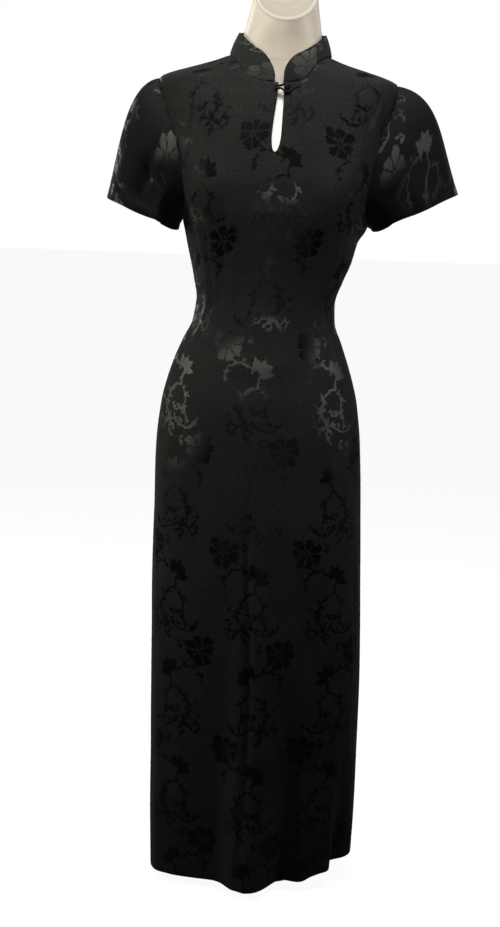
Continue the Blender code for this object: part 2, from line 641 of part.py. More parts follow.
def make_form():
    # Rings from the flat underside to the slanted neck cut.
    turn = np.arange(FORM_RING) * 360 / FORM_RING - 180
    heights = [FORM_BANDS[0][0]]
    for low, high, steps in FORM_BANDS:
        heights += [low + (high - low) * (i + 1) / steps for i in range(steps)]
    rings = [form_section(h, turn) for h in heights]
    foot = rings[0].copy()
    foot[:, :2] *= FORM_FOOT_SHARE
    foot[:, 2] = FORM_BOTTOM
    rings.insert(0, foot)
    top = neck_ring(turn)
    last = rings[-1]
    rings += [last + (top - last) * share for share in NECK_SHARES]
    points = np.array(rings).reshape(-1, 3)
    faces = grid_faces(len(rings), FORM_RING, closed=True)
    faces.append(tuple(reversed(range(FORM_RING))))
    faces.append(tuple((len(rings) - 1) * FORM_RING + i for i in range(FORM_RING)))
    add_object("form_torso", mesh_from("form_torso", points, faces), FORM_COLOUR, 0.45)


def make_cap():
    # Oval plate on the cut, with a low raised rim.
    turn = np.arange(FORM_RING) * 360 / FORM_RING - 180
    bevel, step = 0.001, 0.0015
    levels = ((-CAP_INSET, FIT_GAP), (-CAP_INSET, CAP_THICKNESS - bevel),
              (-CAP_INSET - bevel, CAP_THICKNESS), (-CAP_INSET - CAP_RIM, CAP_THICKNESS),
              (-CAP_INSET - CAP_RIM - bevel, CAP_THICKNESS - step))
    rings = [neck_ring(turn, out, lift) for out, lift in levels]
    points = np.array(rings).reshape(-1, 3)
    faces = grid_faces(len(rings), FORM_RING, closed=True)
    faces.append(tuple(reversed(range(FORM_RING))))
    faces.append(tuple((len(rings) - 1) * FORM_RING + i for i in range(FORM_RING)))
    add_object("form_neck_cap", mesh_from("form_neck_cap", points, faces, 50), CAP_COLOUR, 0.4)


def make_turned(name, half_x, half_y, low, high, edge, colour, sides=48):
    # An upright oval or round piece with a small chamfer at both ends.
    levels = ((edge, low), (0, low + edge), (0, high - edge), (edge, high))
    angles = np.arange(sides) * 2 * math.pi / sides
    points = []
    for inset, z in levels:
        points += [((half_x - inset) * math.cos(a), STAND_Y + (half_y - inset) * math.sin(a), z)
                   for a in angles]
    faces = grid_faces(len(levels), sides, closed=True)
    faces.append(tuple(reversed(range(sides))))
    faces.append(tuple(3 * sides + i for i in range(sides)))
    add_object(name, mesh_from(name, points, faces), colour, 0.35, 1.0)


def make_stand():
    make_turned("stand_base", BASE_HALF_X, BASE_HALF_Y, 0, BASE_THICKNESS, 0.0015, STEEL_COLOUR)
    socket_top = BASE_THICKNESS + FIT_GAP + SOCKET_HEIGHT
    make_turned("stand_socket", SOCKET_RADIUS, SOCKET_RADIUS, BASE_THICKNESS + FIT_GAP,
                socket_top, 0.002, STEEL_COLOUR, 28)
    make_turned("stand_pole", POLE_RADIUS, POLE_RADIUS, socket_top + FIT_GAP,
                FORM_BOTTOM - FIT_GAP, 0.001, STEEL_COLOUR, 24)


def main():
    for thing in list(bpy.data.objects):
        bpy.data.objects.remove(thing, do_unlink=True)
    make_front()
    make_back("back_left", 1)
    make_back("back_right", -1)
    for row in SLEEVES:
        make_sleeve(row)
    make_collar()
    make_fastening()
    make_form()
    make_cap()
    make_stand()


main()
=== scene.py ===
import math

import bpy
import numpy as np
from mathutils import Matrix, Vector


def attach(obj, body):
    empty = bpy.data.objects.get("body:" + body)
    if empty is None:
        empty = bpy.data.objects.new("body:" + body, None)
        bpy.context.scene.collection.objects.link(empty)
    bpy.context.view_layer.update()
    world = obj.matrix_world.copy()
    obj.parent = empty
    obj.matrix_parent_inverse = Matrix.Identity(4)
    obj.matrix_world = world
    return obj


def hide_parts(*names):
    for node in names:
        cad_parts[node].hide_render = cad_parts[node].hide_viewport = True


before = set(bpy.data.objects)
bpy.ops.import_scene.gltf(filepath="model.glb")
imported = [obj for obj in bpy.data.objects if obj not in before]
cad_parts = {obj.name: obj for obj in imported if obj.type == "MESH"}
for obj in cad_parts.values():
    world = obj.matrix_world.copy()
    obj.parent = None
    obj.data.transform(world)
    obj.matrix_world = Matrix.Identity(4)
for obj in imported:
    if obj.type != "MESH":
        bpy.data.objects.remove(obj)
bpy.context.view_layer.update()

print("frame loaded:", len(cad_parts), "nodes")

# All the cloth lies on one surface round the figure. A point on it has a turn in degrees,
# 0 at the front, 90 at the side at +X and 180 at the back, and a height in metres.
figureColumns = ("height", "halfWidth", "front", "back", "square", "room", "sway")
figureRows = [
    (0.000, 0.177, 0.080, 0.116, 2.50, 0.010, 0.002),
    (0.133, 0.180, 0.092, 0.120, 2.50, 0.010, 0.002),
    (0.355, 0.1815, 0.104, 0.123, 2.45, 0.010, 0.000),
    (0.571, 0.179, 0.110, 0.125, 2.40, 0.010, -0.005),
    (0.676, 0.176, 0.112, 0.127, 2.35, 0.009, -0.007),
    (0.780, 0.172, 0.112, 0.129, 2.30, 0.006, -0.009),
    (0.849, 0.164, 0.109, 0.124, 2.25, 0.004, -0.010),
    (0.883, 0.156, 0.105, 0.118, 2.20, 0.004, -0.010),
    (0.917, 0.145, 0.100, 0.111, 2.20, 0.005, -0.010),
    (0.950, 0.132, 0.095, 0.103, 2.15, 0.006, -0.009),
    (0.984, 0.118, 0.091, 0.096, 2.15, 0.007, -0.007),
    (1.017, 0.1155, 0.089, 0.092, 2.15, 0.007, -0.005),
    (1.051, 0.124, 0.092, 0.092, 2.15, 0.006, -0.002),
    (1.087, 0.135, 0.099, 0.095, 2.20, 0.005, 0.001),
    (1.127, 0.144, 0.108, 0.100, 2.25, 0.004, 0.001),
    (1.165, 0.152, 0.113, 0.104, 2.35, 0.006, 0.000),
    (1.205, 0.162, 0.113, 0.107, 2.45, 0.003, 0.000),
    (1.255, 0.172, 0.106, 0.109, 2.50, 0.002, 0.001),
    (1.305, 0.182, 0.093, 0.107, 2.55, 0.003, 0.002),
    (1.345, 0.191, 0.079, 0.099, 2.60, 0.0050, 0.003),
    (1.362, 0.194, 0.071, 0.091, 2.60, 0.0055, 0.003),
    (1.372, 0.193, 0.067, 0.086, 2.55, 0.0045, 0.003),
    (1.380, 0.179, 0.064, 0.082, 2.40, 0.0035, 0.003),
    (1.388, 0.154, 0.062, 0.079, 2.20, 0.0035, 0.004),
    (1.397, 0.123, 0.060, 0.076, 2.05, 0.0035, 0.004),
    (1.405, 0.098, 0.0585, 0.073, 2.00, 0.0035, 0.004),
    (1.412, 0.083, 0.0575, 0.071, 2.00, 0.0035, 0.005),
    (1.425, 0.0745, 0.0565, 0.068, 2.00, 0.0035, 0.006),
    (1.447, 0.0675, 0.0560, 0.065, 2.00, 0.001, 0.007),
    (1.470, 0.0620, 0.0550, 0.063, 2.00, 0.001, 0.007),
    (1.504, 0.0575, 0.0540, 0.061, 2.00, 0.001, 0.007),
    (1.600, 0.0550, 0.0530, 0.060, 2.00, 0.001, 0.007),
]

# Long folds of the skirt: turn at the upper and the lower end, height of both, width in degrees,
# rise at both.
foldRows = [
    (-3, -1.5, 0.62, 0.00, 8, 0.000, 0.045),     # ridge down the middle of the skirt
    (15, 14, 0.40, 0.00, 6, 0.000, -0.010),
    (24, 23, 0.34, 0.00, 6, 0.000, 0.011),
    (46, 45, 0.30, 0.00, 5, 0.000, 0.005),
    (57, 58, 0.26, 0.00, 9, 0.000, -0.024),      # the hem steps back here
    (-26, -28, 0.48, 0.00, 12, 0.000, -0.003),
    (-60, -64, 0.52, 0.00, 9, 0.000, 0.004),
    (122, 126, 0.60, 0.00, 11, 0.000, -0.010),
    (150, 152, 0.66, 0.00, 10, 0.000, 0.012),
    (-128, -132, 0.55, 0.00, 12, 0.000, -0.009),
    (-156, -158, 0.60, 0.00, 10, 0.000, 0.012),
    (72, 76, 0.98, 0.62, 8, 0.004, 0.000),
    (-74, -78, 0.96, 0.60, 8, 0.003, 0.000),
    (0, 0, 1.13, 0.92, 22, 0.000, 0.004),
]

# Low rounds: turn, height, both spreads and rise.
roundRows = [
    (34, 1.195, 19, 0.060, 0.013),
    (-34, 1.195, 19, 0.060, 0.013),
    (148, 1.270, 22, 0.070, 0.005),
    (-148, 1.270, 22, 0.070, 0.005),
]

# Fisheye darts: side (1 front, -1 back), distance from the middle, height of both points, half
# width, depth.
dartRows = [
    (1, 0.076, 1.190, 0.965, 0.009, 0.0022),
    (1, -0.076, 1.205, 0.955, 0.008, 0.0026),
    (-1, 0.070, 1.220, 0.900, 0.010, 0.0016),
    (-1, -0.070, 1.220, 0.900, 0.010, 0.0016),
]

# Small creases: turn, height, slant from upright in degrees, half length and
# half width in metres, rise in millimetres (troughs below 0).
creaseRows = [
    (86, 1.156, 0, 0.030, 0.0260, 10.0),         # cloth stands out below the arm at +X
    (-47, 1.060, 4, 0.110, 0.0060, -1.5),        # beside the long darts
    (-55, 1.030, 6, 0.120, 0.0085, 1.6),
    (44, 1.080, -10, 0.100, 0.0060, -1.4),
    (52, 1.040, -9, 0.110, 0.0085, 1.5),
    (58, 0.985, -14, 0.050, 0.0070, -1.4),
    (-62, 1.075, 62, 0.050, 0.0075, -0.9),       # drag lines into the waist
    (-66, 1.040, 74, 0.045, 0.0065, 0.8),
    (-58, 1.005, 82, 0.052, 0.0080, -0.9),
    (-64, 0.968, 70, 0.040, 0.0065, 0.6),
    (60, 1.080, -64, 0.048, 0.0075, -0.9),
    (64, 1.046, -75, 0.044, 0.0070, 0.9),
    (57, 1.008, -84, 0.050, 0.0080, -0.8),
    (63, 0.972, -70, 0.038, 0.0060, 0.7),
    (-56, 1.180, 40, 0.046, 0.0080, -1.0),       # from the bust to the underarm
    (-60, 1.205, 52, 0.040, 0.0070, 0.8),
    (56, 1.178, -42, 0.044, 0.0080, -1.0),
    (60, 1.208, -50, 0.038, 0.0070, 0.7),
    (-46, 1.285, 22, 0.046, 0.0090, -0.9),       # beside the armholes
    (46, 1.282, -20, 0.044, 0.0090, -0.9),
    (-38, 0.800, 8, 0.110, 0.0120, 0.8),         # hips and upper skirt
    (-47, 0.690, -4, 0.130, 0.0110, -0.9),
    (40, 0.780, -6, 0.120, 0.0120, 0.8),
    (49, 0.660, 5, 0.140, 0.0110, -0.9),
    (-14, 0.700, 3, 0.120, 0.0130, -0.7),
    (12, 0.640, -3, 0.140, 0.0120, -0.8),
    (-70, 0.520, 2, 0.170, 0.0075, 1.1),         # light streaks near the skirt's sides
    (-76, 0.400, -1, 0.160, 0.0065, -1.0),
    (70, 0.540, -2, 0.180, 0.0075, 1.1),
    (77, 0.430, 1, 0.160, 0.0065, -1.0),
    (63, 0.330, 0, 0.150, 0.0080, 1.0),
    (-2.0, 0.320, 0, 0.350, 0.0034, -7.0),       # down the middle of the skirt
    (-10, 0.360, 0, 0.320, 0.0130, -3.0),
    (3, 0.360, 0, 0.310, 0.0060, 2.2),
    (-17, 0.430, 1, 0.120, 0.0090, -0.9),
    (13, 0.400, -1, 0.140, 0.0080, -0.8),
    (-40, 0.260, 2, 0.140, 0.0110, 0.9),
    (34, 0.250, -2, 0.130, 0.0110, 0.8),
    (112, 1.070, -60, 0.048, 0.0080, -0.9),      # the back, much the same
    (118, 1.020, -80, 0.052, 0.0080, 0.8),
    (-110, 1.075, 58, 0.050, 0.0080, -0.9),
    (-117, 1.015, 78, 0.050, 0.0080, 0.8),
    (135, 1.190, -30, 0.055, 0.0100, -0.9),
    (-138, 1.185, 28, 0.055, 0.0100, -0.9),
    (140, 0.760, 5, 0.120, 0.0120, 0.8),
    (-142, 0.740, -5, 0.120, 0.0120, 0.8),
    (170, 0.640, 2, 0.150, 0.0110, -0.9),
    (-168, 0.560, -2, 0.160, 0.0110, 0.9),
    (110, 0.470, -2, 0.170, 0.0080, 1.0),
    (-112, 0.450, 2, 0.170, 0.0080, 1.0),
]

dress = {
    "hemHeight": 0.016,
    "hemLift": 0.037,            # how much higher the hem hangs at +X
    "neckFront": 1.367,
    "neckSide": 1.412,
    "neckBack": 1.430,
    "neckHalf": 0.083,
    "neckRunLeft": 3.6,          # how late the seam dips to the front at +X, 2 at -X
    "underarm": 1.145,
    "shoulderTip": 1.372,
    "armholeBite": (20.0, 30.0),     # in front, at +X and at -X
    "armholeBiteBack": 22.0,
    "allowance": 0.8,            # degrees of cloth that go on under a seam
    "seamGap": 0.0004,
    "cloth": 0.0010,             # thickness of the shell
    "hemDepth": 0.026,           # turned-up hem
    "hemExtra": 0.0004,          # its added thickness
    "hemGroove": 0.0003,         # where it is sewn
    "hemRoll": 0.0004,
    "seamDip": 0.0009,           # the cloth rolls in at its seams
    "seamReach": 0.0032,
    "underDrop": 0.0012,         # drop of an edge that lies under its neighbour
    "pucker": 0.00022,           # small gathers along the seams
    "metresPerDegree": 0.0026,   # on the cloth, for the creases
    "creaseBend": 0.006,         # how far a crease's ends are bent aside
}


figure = dict(zip(figureColumns, np.array(figureRows).T))


def cubic(t, start, end, reach, leave, arrive):
    # A cubic from start to end, with the slopes leave and arrive over the reach.
    return ((2 * t**3 - 3 * t**2 + 1) * start + (t**3 - 2 * t**2 + t) * reach * leave
            + (3 * t**2 - 2 * t**3) * end + (t**3 - t**2) * reach * arrive)


def smoothValue(height, column):
    # Cubic through the rows of the figure, with slopes that never overshoot a row.
    xs, ys = figure["height"], figure[column]
    steps = np.diff(ys) / np.diff(xs)
    before, after = steps[:-1], steps[1:]
    sameWay = before * after > 0
    slopes = np.zeros(len(xs))
    slopes[1:-1][sameWay] = 2 * before[sameWay] * after[sameWay] / (before + after)[sameWay]
    slopes[0], slopes[-1] = steps[0], steps[-1]
    h = np.clip(np.asarray(height, float), xs[0], xs[-1])
    i = np.clip(np.searchsorted(xs, h, side="right") - 1, 0, len(xs) - 2)
    width = xs[i + 1] - xs[i]
    return cubic((h - xs[i]) / width, ys[i], ys[i + 1], width, slopes[i], slopes[i + 1])


def easeInOut(t):
    # From 0 to 1 with a level start and end.
    t = np.clip(t, 0, 1)
    return t * t * (3 - 2 * t)


def signedPower(value, power):
    # A power of the size alone; the sign stays.
    return np.sign(value) * np.abs(value) ** power


def turnApart(turn, middle):
    # Degrees between two turns, the short way round.
    return (turn - middle + 180) % 360 - 180


def foldRise(turn, height):
    # Bell across each fold, growing along it from its upper to its lower end.
    rise = 0
    for turnUp, turnLow, up, low, width, riseUp, riseLow in foldRows:
        along = (up - height) / (up - low)
        inside = easeInOut(np.minimum(along, 1 - along) * 6 + 1)
        share = np.clip(along, 0, 1)
        middle = turnUp + (turnLow - turnUp) * share
        size = riseUp + (riseLow - riseUp) * share**1.4
        rise = rise + size * inside * np.exp(-(turnApart(turn, middle) / width) ** 2)
    return rise


def roundRise(turn, height):
    # A bell both ways for each round.
    rise = 0
    for middle, level, spreadTurn, spreadHeight, size in roundRows:
        across = turnApart(turn, middle) / spreadTurn
        up = (height - level) / spreadHeight
        rise = rise + size * np.exp(-across**2 - up**2)
    return rise


def dartRise(x, inFront, height):
    # A narrow crease, deepest between its two points.
    rise = 0
    for side, middle, up, low, halfWidth, most in dartRows:
        along = (up - height) / (up - low)
        depth = most * np.sqrt(np.clip(4 * along * (1 - along), 0, 1))
        bell = np.exp(-((x - middle) / halfWidth) ** 2)
        rise = rise - np.where(inFront == (side > 0), depth * bell, 0)
    return rise


def creaseRise(turn, height):
    # A bell across each crease's line and a flatter one along it, both in metres on the cloth.
    rise = 0
    for middle, level, slant, halfLength, halfWidth, size in creaseRows:
        aside = turnApart(turn, middle) * dress["metresPerDegree"]
        up = height - level
        lean = math.radians(slant)
        along = up * math.cos(lean) + aside * math.sin(lean)
        across = aside * math.cos(lean) - up * math.sin(lean)
        across = across + dress["creaseBend"] * (along / halfLength) ** 2
        rise = rise + 0.001 * size * np.exp(-(across / halfWidth) ** 2 - (along / halfLength) ** 4)
    return rise


def unevenRise(turn, height):
    # Three slow waves of different length, so that no stretch of cloth is quite even.
    a = np.radians(turn)
    return (0.00035 * np.sin(9 * a + 11 * height + 0.7) * np.sin(17 * height + 0.4)
            + 0.00025 * np.sin(14 * a - 23 * height + 2.1)
            + 0.00018 * np.sin(23 * a + 31 * height))


def figurePoint(turn, height, creased=True):
    # A squared oval at each height, moved out along its turn by the rises.
    turn, height = np.broadcast_arrays(np.asarray(turn, float), np.asarray(height, float))
    angle = np.radians(turn)
    inFront = np.cos(angle) > 0
    power = 2 / smoothValue(height, "square")
    depth = np.where(inFront, smoothValue(height, "front"), smoothValue(height, "back"))
    x = smoothValue(height, "halfWidth") * signedPower(np.sin(angle), power)
    y = -depth * signedPower(np.cos(angle), power)
    rise = roundRise(turn, height)
    if creased:
        rise = rise + foldRise(turn, height) + dartRise(x, inFront, height)
        rise = rise + creaseRise(turn, height) + unevenRise(turn, height)
    x = x + smoothValue(height, "sway")
    return np.stack([x + rise * np.sin(angle), y - rise * np.cos(angle), height], axis=-1)


def figureNormal(turn, height, creased=True):
    # Unit vector away from the figure, from the slopes both ways.
    turnStep, heightStep = 0.4, 0.0006
    around = (figurePoint(turn + turnStep, height, creased)
              - figurePoint(turn - turnStep, height, creased))
    upward = (figurePoint(turn, height + heightStep, creased)
              - figurePoint(turn, height - heightStep, creased))
    normal = np.cross(around, upward)
    return normal / np.linalg.norm(normal, axis=-1, keepdims=True)


def armholeShare(height, bite):
    # Share of the half panel that is left beside the armhole, 1 at both its ends.
    along = np.clip((height - dress["underarm"]) / (dress["shoulderTip"] - dress["underarm"]), 0, 1)
    return 1 - bite / 90 * np.sin(math.pi * along**0.72) ** 0.6


def neckSeam(angleDegrees):
    # Turn and height of a point on the neck seam, a saddle that dips in front.
    angle = np.radians(angleDegrees)
    inFront = np.cos(angle) > 0
    end = np.where(inFront, dress["neckFront"], dress["neckBack"])
    power = np.where(inFront & (np.sin(angle) > 0), dress["neckRunLeft"], 2.0)
    height = dress["neckSide"] + (end - dress["neckSide"]) * np.abs(np.cos(angle)) ** power
    ratio = np.clip(dress["neckHalf"] * np.sin(angle) / smoothValue(height, "halfWidth"), -1, 1)
    turn = np.degrees(np.arcsin(ratio))
    return np.where(inFront, turn, np.sign(angleDegrees) * 180 - turn), height


def moveSideways(turn, height, shift):
    # The turn of a point of the front that is moved sideways by shift metres.
    power = 2 / smoothValue(height, "square")
    reach = smoothValue(height, "halfWidth")
    x = signedPower(np.sin(np.radians(turn)), power) * reach + shift
    return np.degrees(np.arcsin(np.clip(signedPower(x / reach, 1 / power), -1, 1)))


def ringNumbers(rows, sides):
    # Numbers of a grid's points, with the first column again after the last.
    index = np.arange(rows * sides).reshape(rows, sides)
    return np.concatenate([index, index[:, :1]], axis=1)


def gridQuads(rows, columns):
    # Corner numbers of every four-sided face of a grid that is numbered row by row.
    r, c = np.meshgrid(np.arange(rows - 1), np.arange(columns - 1), indexing="ij")
    low = (r * columns + c).ravel()
    return np.stack([low, low + 1, low + columns + 1, low + columns], axis=1)


def buildMesh(name, points, quads, uv=None, sharpAngle=42):
    # Whole arrays straight into the mesh; a quad whose last two corners match is a triangle.
    triangle = quads[:, 2] == quads[:, 3]
    sizes = np.where(triangle, 3, 4)
    keep = np.ones(quads.shape, bool)
    keep[triangle, 3] = False
    corners = quads[keep]
    mesh = bpy.data.meshes.new(name)
    mesh.vertices.add(len(points))
    mesh.vertices.foreach_set("co", np.asarray(points, np.float32).ravel())
    mesh.loops.add(len(corners))
    mesh.loops.foreach_set("vertex_index", corners.astype(np.int32))
    mesh.polygons.add(len(quads))
    starts = np.concatenate([[0], np.cumsum(sizes)[:-1]])
    mesh.polygons.foreach_set("loop_start", starts.astype(np.int32))
    mesh.update(calc_edges=True)
    if uv is not None:
        layer = mesh.uv_layers.new(name="weave")
        layer.data.foreach_set("uv", np.asarray(uv[keep], np.float32).ravel())
    mesh.validate()
    mesh.shade_smooth()
    mesh.set_sharp_from_angle(angle=math.radians(sharpAngle))
    piece = bpy.data.objects.new(name, mesh)
    bpy.context.scene.collection.objects.link(piece)
    return piece


def buildWall(name, outer, inner, quads, uv, vertexOf=None, edge=0.00035, paintedHighlight=0.0, shade=0.0):
    # A closed wall: the outer quads, the same ones turned round inside, and a strip along each
    # open edge, which a small bevel rounds.
    outer, inner, uv = outer.reshape(-1, 3), inner.reshape(-1, 3), uv.reshape(-1, 2)
    count = len(outer)
    face = quads if vertexOf is None else vertexOf[quads]
    starts = face.ravel()
    ends = np.roll(face, -1, axis=1).ravel()
    key = np.minimum(starts, ends) * (count + 1) + np.maximum(starts, ends)
    _, index, uses = np.unique(key, return_index=True, return_counts=True)
    rim = index[uses == 1]
    a, b = starts[rim], ends[rim]
    uvStart = uv[quads].reshape(-1, 2)[rim]
    uvEnd = uv[np.roll(quads, -1, axis=1)].reshape(-1, 2)[rim]
    strip = np.stack([b, a, a + count, b + count], axis=1)
    allQuads = np.concatenate([face, face[:, ::-1] + count, strip])
    stripUv = np.stack([uvEnd, uvStart, uvStart, uvEnd], axis=1)
    allUv = np.concatenate([uv[quads], uv[quads[:, ::-1]], stripUv])
    used, allQuads = np.unique(allQuads, return_inverse=True)
    allQuads = allQuads.reshape(-1, 4)
    piece = buildMesh(name, np.concatenate([outer, inner])[used], allQuads, allUv)
    # Two point attributes: the flowers' painted highlight and the painted shade.
    for label, value in (("paintedHighlight", paintedHighlight), ("shade", shade)):
        layer = piece.data.attributes.new(label, "FLOAT", "POINT")
        each = np.ravel(value) * np.ones(count)
        layer.data.foreach_set("value", np.tile(each, 2)[used].astype(np.float32))
    bevel = piece.modifiers.new("softEdge", "BEVEL")
    bevel.width = edge
    bevel.segments = 2
    bevel.limit_method = "ANGLE"
    bevel.angle_limit = math.radians(52)
    return piece


def edgeSpread(count, total, near):
    # Even steps over a length, with a few closer ones at each end.
    inner = np.linspace(near[-1], total - near[-1], count - 2 * len(near) + 2)
    return np.concatenate([near[:-1], inner, total - np.array(near[:-1])[::-1]])


def hemHeightAt(turn):
    # Level, but lifted by the square of the sine on the side at +X.
    return dress["hemHeight"] + dress["hemLift"] * np.maximum(np.sin(np.radians(turn)), 0) ** 2


panelRows = {
    "hemEdge": [0.0, 0.0012, 0.003, 0.006, 0.010, 0.014, 0.018, 0.0215, 0.0245, 0.0275, 0.031],
    "bands": [(0.031, 0.914, 150), (0.914, 1.129, 60), (1.129, 1.2825, 46), (1.2825, 1.356, 30)],
    "shoulder": [0.10, 0.20, 0.30, 0.39, 0.48, 0.56, 0.63, 0.70, 0.76, 0.82, 0.87, 0.915, 0.95, 0.978,
                 1.0],
    "columns": 67,
    "nearSeam": [0.0, 0.45, 1.0, 1.8],     # degrees from a seam or the middle
}


def rowDistances():
    # Distances up a side seam from the hem to the shoulder's neck end, closer at the hem.
    rows = list(panelRows["hemEdge"])
    for low, high, steps in panelRows["bands"]:
        rows += list(low + (high - low) * np.arange(1, steps + 1) / steps)
    last = dress["neckSide"] - dress["hemHeight"]
    rows += [rows[-1] + (last - rows[-1]) * share for share in panelRows["shoulder"]]
    return np.array(rows)


def panelGrid(columnTurns, bite):
    # Turn and height of each grid point: even round the hem, along the neck seam on top, and
    # drawn in beside the armhole.
    side = (dress["hemHeight"] + rowDistances())[:, None]
    share = (side - dress["hemHeight"]) / (dress["neckSide"] - dress["hemHeight"])
    lowTurn = columnTurns[None, :]
    neckTurn, neckHeight = neckSeam(lowTurn)
    hem = hemHeightAt(lowTurn)
    turn = lowTurn + (neckTurn - lowTurn) * easeInOut((share - 0.80) / 0.20)
    middle = 0 if columnTurns[0] * columnTurns[-1] < 0 else 180 * np.sign(columnTurns.sum())
    height = hem + (neckHeight - hem) * share
    turn = middle + (turn - middle) * armholeShare(height, bite)
    return turn, height


def pathLengths(points, axis):
    # Running length of the grid's lines along one axis.
    steps = np.linalg.norm(np.diff(points, axis=axis), axis=2)
    zero = np.zeros_like(np.take(steps, [0], axis=axis))
    return np.concatenate([zero, np.cumsum(steps, axis=axis)], axis=axis)


# Where the satin flowers get a painted highlight: turn, height, both spreads and share.
paintedHighlightRows = [
    (-50, 0.865, 22, 0.115, 1.0),        # hips
    (46, 0.860, 17, 0.095, 1.0),
    (-10, 0.915, 22, 0.046, 0.9),
    (18, 1.196, 26, 0.016, 0.9),         # below the bust
    (-52, 1.150, 12, 0.020, 0.6),
    (80, 1.160, 16, 0.040, 1.0),
    (-88, 1.190, 12, 0.080, 0.5),
    (8, 0.985, 18, 0.012, 0.8),
    (150, 0.860, 26, 0.080, 0.9),        # the back, much the same
    (-150, 0.870, 26, 0.085, 0.9),
    (165, 1.120, 40, 0.022, 0.7),
]


def paintedHighlightAt(turn, height, rows):
    # The largest of the bells, each flat on top.
    share = np.zeros(np.broadcast(turn, height).shape)
    for middle, level, spreadTurn, spreadHeight, size in rows:
        reach = (turnApart(turn, middle) / spreadTurn) ** 2 + ((height - level) / spreadHeight) ** 2
        share = np.maximum(share, size * np.exp(-reach**2))
    return share


weave = {
    "wide": 0.140,               # one repeat of the flowers across
    "high": 0.172,               # half a repeat up; the next half is mirrored
    "mirror": -0.021,            # axis of that mirror, from the middle of a flower
    "frontStart": (-0.056, 0.937),
    "backStart": 0.035,
    "bodiceShift": 0.026,        # the darts draw the pattern aside above the waist
}


def clothUv(points, height, centreColumn):
    # Metres on the flat cloth: across from the middle line, and up along each column.
    across = pathLengths(points, 1)
    across = across - across[:, centreColumn:centreColumn + 1]
    up = pathLengths(points, 0) + height[0][None, :] - dress["hemHeight"]
    return np.stack([across, up], axis=-1)


def seamShape(distance, along):
    # How far a point lies below the cloth near a seam: a roll inward and small gathers.
    near = np.exp(-(distance / dress["seamReach"]) ** 2)
    gathers = np.sin(2 * math.pi * along / 0.013) + 0.6 * np.sin(2 * math.pi * along / 0.0083 + 1.0)
    return -dress["seamDip"] * near + dress["pucker"] * gathers * np.exp(-distance / 0.012)


def hemGroove(fromEdge, depth):
    # The shallow groove where a hem is sewn.
    return -dress["hemGroove"] * np.exp(-((fromEdge - depth) / 0.003) ** 2)


def hemShape(up):
    # The groove and the hem's own slight roll.
    return hemGroove(up, dress["hemDepth"]) - dress["hemRoll"] * np.exp(-(up / 0.003) ** 2)


def clothThick(fromEdge, depth):
    # Thicker within the depth of a hem, with a short step.
    return dress["cloth"] + dress["hemExtra"] * easeInOut((depth - fromEdge) / 0.002)


def layCloth(turn, height, shift, edgeLift):
    # The shell's outer and inner points. The lift at seams and hem follows the cloth's normal.
    flat = figurePoint(turn, height)
    up, across = pathLengths(flat, 0), pathLengths(flat, 1)
    lift = edgeLift(up, across, across[:, -1:] - across)
    lift = lift + hemShape(up) + seamShape(up[-1:] - up, across)
    normal = figureNormal(turn, height)
    outer = flat + lift[..., None] * normal + np.array(shift)
    return outer, outer - clothThick(up, dress["hemDepth"])[..., None] * normal


def halfColumns():
    # Degrees over a quarter turn, closer at both its ends.
    return edgeSpread(panelRows["columns"], 90, panelRows["nearSeam"])


keyholeCut = {
    "topHalf": 0.0046,
    "wideHalf": 0.0072,
    "low": 1.257,
    "widest": 1.285,
    "topMiddle": 0.004,
    "lowMiddle": -0.0012,
    "spread": 0.060,             # how far aside the grid makes room for it
    "fade": 0.12,
    "roll": 0.0005,              # its edge rolls in
    "stitch": 0.006,             # stitches, in from the edge
    "groove": 0.00022,
}


def keyholeShape(height):
    # Middle and half width of the slit: a quarter circle at its round end, then narrowing.
    k = keyholeCut
    up = np.clip((height - k["low"]) / (k["widest"] - k["low"]), 0, 1)
    bulb = k["wideHalf"] * np.sqrt(1 - (1 - up) ** 2)
    above = easeInOut((height - k["widest"]) / (dress["neckFront"] - k["widest"]))
    half = bulb + (k["topHalf"] - k["wideHalf"]) * above
    lean = np.clip((height - k["low"]) / (dress["neckFront"] - k["low"]), 0, 1)
    return k["lowMiddle"] + (k["topMiddle"] - k["lowMiddle"]) * lean, half


